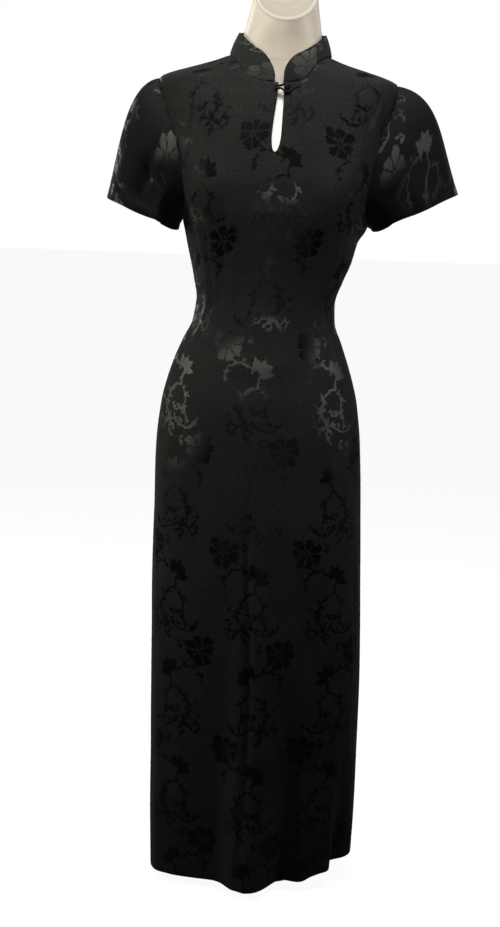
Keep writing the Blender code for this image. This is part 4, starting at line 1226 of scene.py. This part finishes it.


# The flower spray, charted in millimetres from the middle of the round flower, y up.
# Stems are arcs: middle, radius, direction of the arc's middle, half its span, half width.
upperStems = [
    (28, 58, 27, -100, 48, 1.5),         # long stem over the flower
    (58, 19.5, 22, 94, 35, 1.4),
    (76, 50.5, 14, 290, 54, 1.3),
    (50, 46, 22.5, 174, 30, 1.2),        # its branchlets
    (54, 28, 13, -5, 62, 1.4),
    (84, 34, 9.5, -15, 92, 1.3),
    (99, 56, 22, 170, 30, 1.1),
    (38, 70, 9, -90, 68, 1.9),
    (31, 8, 8, 10, 78, 1.3),             # hook beside the flower
    (22, -56, 26, 88, 42, 1.5),          # stem to the half-open flower
    (51.6, -20.8, 20, 262, 34, 1.5),
    (16, -23, 7.5, 118, 85, 1.2),
    (9, -48, 12, 170, 52, 1.3),
]
lowerStems = [
    (72, -62, 19, 166, 42, 1.6),         # down from the half-open flower
    (54, -100, 30, 130, 43, 1.5),
    (56, -105, 33, 190, 27, 1.4),
    (15, -124, 15, -28, 50, 1.3),
    (48, -122, 19, 215, 38, 1.3),
    (15, -91, 10, -42, 60, 1.1),
    (26, -66, 17, -62, 30, 1.1),
    (45, -93, 22, -4, 52, 1.3),
    (50, -107, 8, 250, 78, 1.3),
]
# Leaves and buds: middle, direction, half length, half width.
upperLeaves = [
    (31.5, 61, 70, 4.2, 1.9),
    (39, 42, 60, 4.4, 2.3),
    (53, 47, 130, 4.6, 2.2),
    (80, 68, 75, 4.4, 1.8),
    (5, 46, 105, 3.6, 1.9),
    (58, 14.5, 215, 3.6, 2.0),
    (29, -25, 50, 4.0, 2.0),
    (0, -58, 250, 3.6, 2.2),
    (44, -45, 250, 3.4, 1.8),
    (13, 40, 150, 4.6, 2.2),
    (25, 83, 30, 4.4, 2.0),
    (61, 33, 20, 4.4, 2.1),
    (90, 47, 100, 4.0, 2.0),
    (-3, -44, 160, 4.4, 2.1),
    (33, -34, 300, 4.6, 2.2),
]
lowerLeaves = [
    (17, -141, 250, 3.8, 2.1),
    (43, -143, 290, 3.8, 2.1),
    (8, -97, 200, 3.6, 2.0),
    (23, -80, 120, 3.8, 1.8),
    (35, -121, 60, 3.2, 1.6),
    (40, -106, 210, 3.4, 2.0),
    (60, -76, 30, 4.6, 2.2),
    (31, -92, 150, 4.4, 2.1),
    (64, -118, 320, 4.6, 2.2),
    (4, -116, 190, 4.2, 2.0),
]
# The half-open flower: petals fanned round its base.
fanFlower = {"x": 53, "y": -45, "ways": (104, 66, 28, -12), "reach": 13.0, "halfLength": 12.0,
             "halfWidth": 6.2}
# The round flower: its rim dips between the petals.
roundFlower = {"petals": 7, "radius": 26.0, "dip": 1.9, "dipPower": 2.6, "inner": 5.4, "gap": 1.25,
               "uneven": 3.0, "heart": 2.4, "stamen": 0.55, "stamenReach": 6.0}
stemShare = 1.12
# One more leaf beside each stem that is longer than this.
sideLeaf = {"from": 10, "along": 0.45, "beside": 3.4, "lean": 38, "halfLength": 4.0, "halfWidth": 1.9}


def foldedPlace(chart, x, y, centreX, centreY):
    # The point seen from the nearest flower: half repeats alternate with mirrored ones.
    wide, high, mirror = [weave[key] * 1000 for key in ("wide", "high", "mirror")]
    step = chart.math("ROUND", chart.math("DIVIDE", chart.math("SUBTRACT", y, centreY), high))
    localY = chart.math("SUBTRACT", y, chart.math("MULTIPLY", step, high))
    odd = chart.math("FLOORED_MODULO", step, 2.0)
    mirrored = chart.math("SUBTRACT", 2 * mirror, x)
    swap = chart.math("SUBTRACT", mirrored, x)
    side = chart.math("MULTIPLY_ADD", swap, odd, x)
    localX = chart.math("WRAP", side, centreX + wide / 2, centreX - wide / 2)
    return chart.join(localX, localY)


def makeFlowerWeave():
    # Mask of the woven flowers: the largest of the signed depths of all stems, leaves and petals.
    group, chart, given, result = newGroup(
        "flowerWeave", [("Vector", "NodeSocketVector", None)], [("Mask", "NodeSocketFloat")])
    millimetres = chart.scaled(given.outputs[0], 1000)
    wobble = chart.noise(millimetres, 0.42, 1.5)

    def waver(scale, detail, size):
        # A noise's colour, centred on 0, as a shift in millimetres.
        seen = chart.noise(millimetres, scale, detail, output="Color")
        return chart.scaled(chart.vector("SUBTRACT", seen, (0.5, 0.5, 0.5)), size)

    # The whole drawing wavers a little, so that no two flowers are quite the same.
    swing, shake = waver(0.055, 1.5, 9.0), waver(0.19, 1.0, 7.0)
    x, y = chart.split(chart.vector("ADD", chart.vector("ADD", millimetres, swing), shake))
    upper = foldedPlace(chart, x, y, 35, 0)
    lower = foldedPlace(chart, x, y, 40, -105)
    depth = None

    def add(value):
        nonlocal depth
        depth = value if depth is None else chart.math("MAXIMUM", depth, value)

    def away(place, px, py):
        return chart.vector("DISTANCE", place, (px, py, 0))

    def leaf(place, lx, ly, way, halfLength, halfWidth):
        # Where two circles overlap: pointed at both ends.
        radius = (halfLength**2 + halfWidth**2) / (2 * halfWidth)
        aside = radius - halfWidth
        angle = math.radians(way + 90)
        dx, dy = aside * math.cos(angle), aside * math.sin(angle)
        furthest = chart.math("MAXIMUM", away(place, lx + dx, ly + dy), away(place, lx - dx, ly - dy))
        add(chart.math("SUBTRACT", radius, furthest))

    for place, stems, leaves in ((upper, upperStems, upperLeaves), (lower, lowerStems, lowerLeaves)):
        for sx, sy, radius, way, span, halfWidth in stems:
            off = chart.math("ABSOLUTE", chart.math("SUBTRACT", away(place, sx, sy), radius))
            angle = math.radians(way)
            faces = (math.cos(angle), math.sin(angle), 0)
            ahead = chart.vector("DOT_PRODUCT", place, faces)
            start = sx * faces[0] + sy * faces[1] + radius * math.cos(math.radians(span))
            band = chart.math("SUBTRACT", stemShare * halfWidth, off)
            add(chart.math("MINIMUM", band, chart.math("SUBTRACT", ahead, start)))
        for row in leaves:
            leaf(place, *row)
        # The side leaves grow on the outer and the inner side in turn.
        for number, (sx, sy, radius, way, span, halfWidth) in enumerate(stems):
            if radius * math.radians(span) < sideLeaf["from"]:
                continue
            outward = 1 if number % 2 else -1
            wayOut = way + sideLeaf["along"] * span * outward
            angle = math.radians(wayOut)
            beside = radius + sideLeaf["beside"] * outward
            leaf(place, sx + beside * math.cos(angle), sy + beside * math.sin(angle),
                 wayOut + sideLeaf["lean"], sideLeaf["halfLength"], sideLeaf["halfWidth"])
    fan = fanFlower
    for way in fan["ways"]:
        ahead, up = fan["reach"] * math.cos(math.radians(way)), fan["reach"] * math.sin(math.radians(way))
        leaf(upper, fan["x"] + ahead, fan["y"] + up, way, fan["halfLength"], fan["halfWidth"])
    # The round flower: petals between thin radial gaps, round a ring and a small heart.
    flower = roundFlower
    petalTurn = 2 * math.pi / flower["petals"]
    fx, fy = chart.split(upper)
    reach = chart.vector("LENGTH", upper)
    turns = chart.math("MULTIPLY", chart.math("ARCTAN2", fy, fx), flower["petals"] / (2 * math.pi))
    across = chart.math("ABSOLUTE", chart.math("SUBTRACT", chart.math("FRACT", turns), 0.5))
    dip = chart.math("POWER", across, flower["dipPower"])
    rim = chart.math("MULTIPLY_ADD", dip, -flower["radius"] * flower["dip"], flower["radius"])
    lopsided = chart.math("SINE", chart.math("MULTIPLY_ADD", chart.math("ARCTAN2", fy, fx), 3.0, 0.8))
    rim = chart.math("MULTIPLY_ADD", lopsided, flower["uneven"], rim)
    outer = chart.math("SUBTRACT", rim, reach)
    inner = chart.math("SUBTRACT", reach, flower["inner"])
    fromGap = chart.math("SUBTRACT", 0.5, across)
    gapArc = chart.math("MULTIPLY", fromGap, chart.math("MULTIPLY", reach, petalTurn))
    ring = chart.math("MINIMUM", outer, inner)
    add(chart.math("MINIMUM", ring, chart.math("SUBTRACT", gapArc, flower["gap"])))
    add(chart.math("SUBTRACT", flower["heart"], reach))
    middleArc = chart.math("MULTIPLY", across, chart.math("MULTIPLY", reach, petalTurn))
    stamen = chart.math("SUBTRACT", flower["stamen"], middleArc)
    add(chart.math("MINIMUM", stamen, chart.math("SUBTRACT", flower["stamenReach"], reach)))
    # Woven edges are a little uneven.
    rough = chart.math("MULTIPLY_ADD", wobble, 5.4, -2.5)
    depth = chart.math("ADD", depth, rough)
    chart.put(result.inputs["Mask"], chart.ramp(depth, -0.25, 0.35))
    return group


def makeCrepeGrain():
    # Height of a crepe ground: crossed yarns broken up by noise, in metres on the cloth.
    group, chart, given, result = newGroup(
        "crepeGrain", [("Vector", "NodeSocketVector", None), ("Yarns", "NodeSocketFloat", 1400.0)],
        [("Height", "NodeSocketFloat"), ("Fleck", "NodeSocketFloat")])
    x, y = chart.split(given.outputs["Vector"])
    pace = chart.math("MULTIPLY", given.outputs["Yarns"], 2 * math.pi)
    warp = chart.math("SINE", chart.math("MULTIPLY", x, pace))
    weft = chart.math("SINE", chart.math("MULTIPLY", y, pace))
    crossed = chart.math("MULTIPLY", warp, weft)
    crinkle = chart.noise(given.outputs["Vector"], 900.0, 3.0, 0.6)
    height = chart.math("MULTIPLY_ADD", crossed, 0.25, crinkle)
    fleck = chart.noise(given.outputs["Vector"], 330.0, 2.0, 0.62)
    chart.put(result.inputs["Height"], height)
    chart.put(result.inputs["Fleck"], chart.ramp(fleck, 0.40, 0.62))
    return group


def makeSoftUse():
    # Slow changes of tone over a surface, in metres.
    group, chart, given, result = newGroup(
        "softUse", [("Vector", "NodeSocketVector", None), ("Scale", "NodeSocketFloat", 9.0)],
        [("Tone", "NodeSocketFloat")])
    tone = chart.noise(given.outputs["Vector"], given.outputs["Scale"], 3.0)
    chart.put(result.inputs["Tone"], chart.ramp(tone, 0.3, 0.7))
    return group


flowerWeave = makeFlowerWeave()
crepeGrain = makeCrepeGrain()
softUse = makeSoftUse()


def newMaterial(name, viewColour, plain):
    # A principled material, its chart and its shader with the plain values filled in.
    material = bpy.data.materials.new(name)
    material.use_nodes = True
    material.diffuse_color = (*viewColour, 1)
    chart = Chart(material.node_tree)
    return material, chart, chart.fill(material.node_tree.nodes["Principled BSDF"], plain)


def useGroup(chart, group, **values):
    # One use of a node group, with its inputs filled.
    return chart.fill(chart.node("ShaderNodeGroup", node_tree=group), values)


jacquardLook = {
    "ground": (0.0142, 0.0142, 0.0128),
    "groundDeep": (0.0108, 0.0108, 0.0097),
    "fleckTone": (0.0050, 0.0050, 0.0045),
    "flower": (0.0011, 0.0011, 0.0010),
    # The lit flower colour is a painted highlight; groundShade and litShade are colours in painted shade.
    "flowerLit": (0.050, 0.050, 0.046),
    "groundShade": (0.0022, 0.0022, 0.0021),
    "litShade": (0.024, 0.024, 0.022),
    "groundRough": 0.88,
    "flowerRough": 0.34,
    "flowerGloss": 0.035,
    "fleck": 0.8,
    "grain": (0.35, 0.0004),
    "plain": {
        "Coat Roughness": 0.21,
        "Coat IOR": 1.5,
        "Specular IOR Level": 0.05,
        "Sheen Weight": 0.015,
        "Sheen Roughness": 0.45,
        "Sheen Tint": (0.85, 0.88, 0.80),
    },
}


def makeJacquard():
    # A crepe ground and satin flowers, mixed by the woven mask. Painted shade deepens both, and a
    # painted highlight turns the flowers from darker to lighter than the ground.
    look = jacquardLook
    material, chart, shader = newMaterial("jacquard", look["ground"], look["plain"])
    cloth = chart.node("ShaderNodeUVMap", uv_map="weave").outputs[0]
    mask = useGroup(chart, flowerWeave, Vector=cloth).outputs["Mask"]
    grain = useGroup(chart, crepeGrain, Vector=cloth)
    tone = useGroup(chart, softUse, Vector=cloth)
    ground = chart.mix(tone.outputs[0], look["groundDeep"], look["ground"])
    fleck = chart.math("MULTIPLY", grain.outputs["Fleck"], look["fleck"])
    ground = chart.mix(fleck, ground, look["fleckTone"])
    shade = chart.node("ShaderNodeAttribute", attribute_name="shade").outputs["Fac"]
    ground = chart.mix(shade, ground, look["groundShade"])
    # The painted highlight, read from each point.
    paintedHighlight = chart.node("ShaderNodeAttribute", attribute_name="paintedHighlight").outputs["Fac"]
    lit = chart.mix(shade, look["flowerLit"], look["litShade"])
    flower = chart.mix(paintedHighlight, look["flower"], lit)
    chart.put(shader.inputs["Base Color"], chart.mix(mask, ground, flower))
    smoother = look["flowerRough"] - look["groundRough"]
    rough = chart.math("MULTIPLY_ADD", mask, smoother, look["groundRough"])
    chart.put(shader.inputs["Roughness"], rough)
    chart.put(shader.inputs["Coat Weight"], chart.math("MULTIPLY", mask, look["flowerGloss"]))
    chart.bump(shader, grain.outputs["Height"], *look["grain"])
    return material


knotLook = {
    "view": (0.0085, 0.0085, 0.0078),
    "tones": ((0.0030, 0.0030, 0.0028), (0.0060, 0.0060, 0.0055)),
    "plain": {"Roughness": 0.7, "Specular IOR Level": 0.12},
    "bump": (0.4, 0.0003),
}


def makeKnotCloth():
    # Fine rolled cord: a fine noise for its yarns, and slow changes of tone.
    look = knotLook
    material, chart, shader = newMaterial("knotCloth", look["view"], look["plain"])
    place = chart.node("ShaderNodeTexCoord").outputs["Object"]
    yarns = chart.noise(place, 2600.0, 2.0)
    tone = useGroup(chart, softUse, Vector=place, Scale=300.0)
    chart.put(shader.inputs["Base Color"], chart.mix(tone.outputs[0], *look["tones"]))
    chart.bump(shader, yarns, *look["bump"])
    return material


formLook = {
    "cover": (0.380, 0.328, 0.256),
    "coverDeep": (0.325, 0.284, 0.222),
    "paintedLitChest": (0.70, 0.69, 0.62),         # painted light: paler below the neck, where the chest is lit more than the neck
    "paintedLitChestEdge": (1.364, 1.322),
    "plate": (0.230, 0.209, 0.168),
    "plateDeep": (0.202, 0.182, 0.146),
    "plateRim": (0.280, 0.258, 0.209),
    "rough": (0.14, 0.35),               # spread and least
    "coverBump": (0.12, 0.0003),
    "plateView": (0.78, 0.72, 0.60),
    "platePlain": {"Roughness": 0.85, "Specular IOR Level": 0.25},
    "plateBump": (0.3, 0.0008),
}


def makeFormCover():
    # A smooth moulded shell with a faint mottle; painted light makes it paler from the neck down.
    look = formLook
    material, chart, shader = newMaterial("formShell", look["cover"], {})
    place = chart.node("ShaderNodeTexCoord").outputs["Object"]
    tone = useGroup(chart, softUse, Vector=place, Scale=14.0)
    fine = chart.noise(place, 420.0, 3.0)
    cover = chart.mix(tone.outputs[0], look["coverDeep"], look["cover"])
    # Painted light: the chest below the neck is made paler, as if lit more than the neck.
    high, low = look["paintedLitChestEdge"]
    height = chart.fill(chart.node("ShaderNodeSeparateXYZ"), {0: place}).outputs[2]
    below = chart.math("SUBTRACT", 1.0, chart.ramp(height, low, high))
    chart.put(shader.inputs["Base Color"], chart.mix(below, cover, look["paintedLitChest"]))
    chart.put(shader.inputs["Roughness"], chart.math("MULTIPLY_ADD", fine, *look["rough"]))
    chart.bump(shader, fine, *look["coverBump"])
    return material


def makeFormCap(plate):
    # Paler plate: a faint swirl in the middle and a lighter rim.
    look = formLook
    material, chart, shader = newMaterial("formPlate", look["plateView"], look["platePlain"])
    place = chart.node("ShaderNodeTexCoord").outputs["Object"]
    slope = math.radians(form["cutSlope"])
    points = np.array([vertex.co for vertex in plate.data.vertices])
    centre = (points.min(axis=0) + points.max(axis=0)) / 2
    upSlope = (points - centre) @ np.array([0, math.cos(slope), math.sin(slope)])
    mapped = chart.node("ShaderNodeMapping", vector_type="TEXTURE")
    chart.put(mapped.inputs["Vector"], place)
    mapped.inputs["Location"].default_value = centre
    mapped.inputs["Rotation"].default_value = (slope, 0, 0)
    mapped.inputs["Scale"].default_value = (np.ptp(points[:, 0]) / 2, np.ptp(upSlope) / 2, 1)
    x, y = chart.split(mapped.outputs[0])
    squares = chart.math("ADD", chart.math("MULTIPLY", x, x), chart.math("MULTIPLY", y, y))
    reach = chart.math("SQRT", squares)
    angle = chart.math("ARCTAN2", y, x)
    turning = chart.math("ADD", angle, chart.math("MULTIPLY", reach, 14.0))
    swirl = chart.math("MULTIPLY_ADD", chart.math("SINE", turning), 0.5, 0.5)
    inner = chart.math("SUBTRACT", 1.0, chart.ramp(reach, 0.45, 0.82))
    swirl = chart.math("MULTIPLY", swirl, inner)
    tone = chart.mix(chart.math("MULTIPLY", swirl, 0.5), look["plateDeep"], look["plate"])
    rim = chart.ramp(reach, 0.88, 0.95)
    chart.put(shader.inputs["Base Color"], chart.mix(rim, tone, look["plateRim"]))
    chart.bump(shader, swirl, *look["plateBump"])
    return material


steelLook = {
    "view": (0.55, 0.55, 0.56),
    "tones": ((0.47, 0.47, 0.48), (0.60, 0.60, 0.61)),
    "lines": (30, 30, 1800),             # brushed round: close lines up, long ones across
    "rough": (0.2, 0.24),
    "bump": (0.1, 0.0002),
}


def makeSteel():
    # Satin steel brushed round the piece.
    look = steelLook
    material, chart, shader = newMaterial("satinSteel", look["view"], {"Metallic": 1.0})
    place = chart.node("ShaderNodeTexCoord").outputs["Object"]
    seen = chart.fill(chart.node("ShaderNodeMapping"), {"Vector": place, "Scale": look["lines"]})
    lines = chart.noise(seen.outputs[0], 1.0, 3.0)
    tone = useGroup(chart, softUse, Vector=place, Scale=30.0)
    chart.put(shader.inputs["Base Color"], chart.mix(tone.outputs[0], *look["tones"]))
    chart.put(shader.inputs["Roughness"], chart.math("MULTIPLY_ADD", lines, *look["rough"]))
    chart.bump(shader, lines, *look["bump"])
    return material


jacquard = makeJacquard()
knotCloth = makeKnotCloth()
formShell, formPlate, satinSteel = makeFormCover(), makeFormCap(formCap), makeSteel()
print("materials made")

# What each piece stands for: piece, material, record slot, CAD nodes.
pieceList = [
    (frontPanel, jacquard, "jacquard", ["front_panel"]),
    (backLeft, jacquard, "jacquard", ["back_left"]),
    (backRight, jacquard, "jacquard", ["back_right"]),
    (sleeveLeft, jacquard, "jacquard", ["sleeve_left"]),
    (sleeveRight, jacquard, "jacquard", ["sleeve_right"]),
    (collarBand, jacquard, "jacquard", ["collar"]),
    (knotButton, knotCloth, "knot_cloth", ["button"]),
    (knotHeart, knotCloth, "knot_cloth", []),
    (buttonTab, knotCloth, "knot_cloth", ["button_tab"]),
    (buttonLoop, knotCloth, "knot_cloth", ["button_loop"]),
    (formCover, formShell, "form_cover", ["form_torso"]),
    (formCap, formPlate, "form_cap", ["form_neck_cap"]),
    (standBase, satinSteel, "stand_steel", ["stand_base"]),
    (standSocket, satinSteel, "stand_steel", ["stand_socket"]),
    (standPole, satinSteel, "stand_steel", ["stand_pole"]),
]
for piece, material, slotName, nodes in pieceList:
    piece.data.materials.append(material)
    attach(piece, "root")
    if nodes:
        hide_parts(*nodes)

studio = {
    "floorTone": 0.12,
    "floorSeen": 0.94,           # glow that the camera sees
    "floorGlow": 0.012,          # glow that falls on the dress
    "worldSeen": 1.0,
    "worldLight": 0.035,
}


def makeFloor():
    # A wide flat floor that looks white to the camera and sends little light back.
    line = np.linspace(-30, 30, 7)
    x, y = np.meshgrid(line, line)
    points = np.stack([x, y, np.zeros_like(x)], axis=-1).reshape(-1, 3)
    floor = buildMesh("floor", points, gridQuads(7, 7))
    plain = {"Base Color": [studio["floorTone"]] * 3, "Roughness": 0.9, "Specular IOR Level": 0.1,
             "Emission Strength": 1.0}
    material, chart, shader = newMaterial("paleFloor", (0.9, 0.9, 0.9), plain)
    seen = chart.node("ShaderNodeLightPath").outputs["Is Camera Ray"]
    glow, bright = [[studio[key]] * 3 for key in ("floorGlow", "floorSeen")]
    chart.put(shader.inputs["Emission Color"], chart.mix(seen, glow, bright))
    floor.data.materials.append(material)


def makeWorld():
    # White behind everything, and a dim even light.
    world = bpy.data.worlds.new("studio")
    bpy.context.scene.world = world
    world.use_nodes = True
    chart = Chart(world.node_tree)
    background = world.node_tree.nodes["Background"]
    background.inputs["Color"].default_value = (1, 1, 1, 1)
    seen = chart.node("ShaderNodeLightPath").outputs["Is Camera Ray"]
    light = studio["worldLight"]
    strength = chart.math("MULTIPLY_ADD", seen, studio["worldSeen"] - light, light)
    chart.put(background.inputs["Strength"], strength)


# Lamps: name, place, the point that each faces, size, watts, spread in degrees, tint.
lampRows = [
    ("frontBox", (-0.10, -2.6, 1.20), (0, 0, 1.26), (1.2, 0.22), 0.8, 36, (1, 1, 1)),
    ("topBox", (0.0, -0.47, 2.68), (0, 0, 1.30), (1.5, 0.6), 24, 110, (1, 1, 1)),
    ("lowBox", (0.05, -1.9, 0.30), (0, 0, 1.15), (0.9, 0.10), 0.52, 50, (1, 1, 1)),
    ("leftStrip", (-2.2, -0.6, 1.55), (0, 0, 1.00), (0.6, 1.10), 10, 90, (1.0, 1.0, 0.93)),
    ("rightStrip", (2.2, -0.6, 1.50), (0, 0, 1.05), (0.45, 1.00), 3.6, 80, (0.90, 0.95, 1.0)),
    ("backLeft", (-1.9, 1.9, 1.7), (0, 0, 1.0), (0.9, 1.9), 34, 180, (1, 1, 0.95)),
    ("backRight", (1.9, 1.9, 1.7), (0, 0, 1.0), (0.9, 1.9), 14, 180, (0.95, 0.97, 1)),
]


def makeLamps():
    # Rectangles that face their points along -Z and stay out of the camera's sight.
    for name, place, faces, size, watts, spread, tint in lampRows:
        data = bpy.data.lights.new(name, "AREA")
        data.shape = "RECTANGLE"
        data.size, data.size_y = size
        data.energy = watts
        data.spread = math.radians(spread)
        data.color = tint
        lamp = bpy.data.objects.new(name, data)
        lamp.location = place
        way = np.array(faces) - np.array(place)
        lamp.rotation_euler = Vector(way).to_track_quat("-Z", "Y").to_euler()
        lamp.visible_camera = False
        bpy.context.scene.collection.objects.link(lamp)


camera = {
    "place": (-0.022, -2.5, 1.18),
    "pitch": 10.0,
    "roll": 2.0,
    "focalPixels": 1490.0,
    "frameHigh": 927,
}


def makeCamera():
    # Pitched down and rolled a little about its own axis.
    data = bpy.data.cameras.new("photoCamera")
    data.sensor_width = 36.0
    data.lens = data.sensor_width * camera["focalPixels"] / camera["frameHigh"]
    eye = bpy.data.objects.new("photoCamera", data)
    bpy.context.scene.collection.objects.link(eye)
    matrix = Matrix.Rotation(math.radians(90 - camera["pitch"]), 4, "X")
    matrix = matrix @ Matrix.Rotation(math.radians(camera["roll"]), 4, "Z")
    matrix.translation = Vector(camera["place"])
    eye.matrix_world = matrix
    bpy.context.scene.camera = eye


makeFloor()
makeWorld()
makeLamps()
makeCamera()
bpy.context.scene.view_settings.view_transform = "Standard"
print("studio ready")
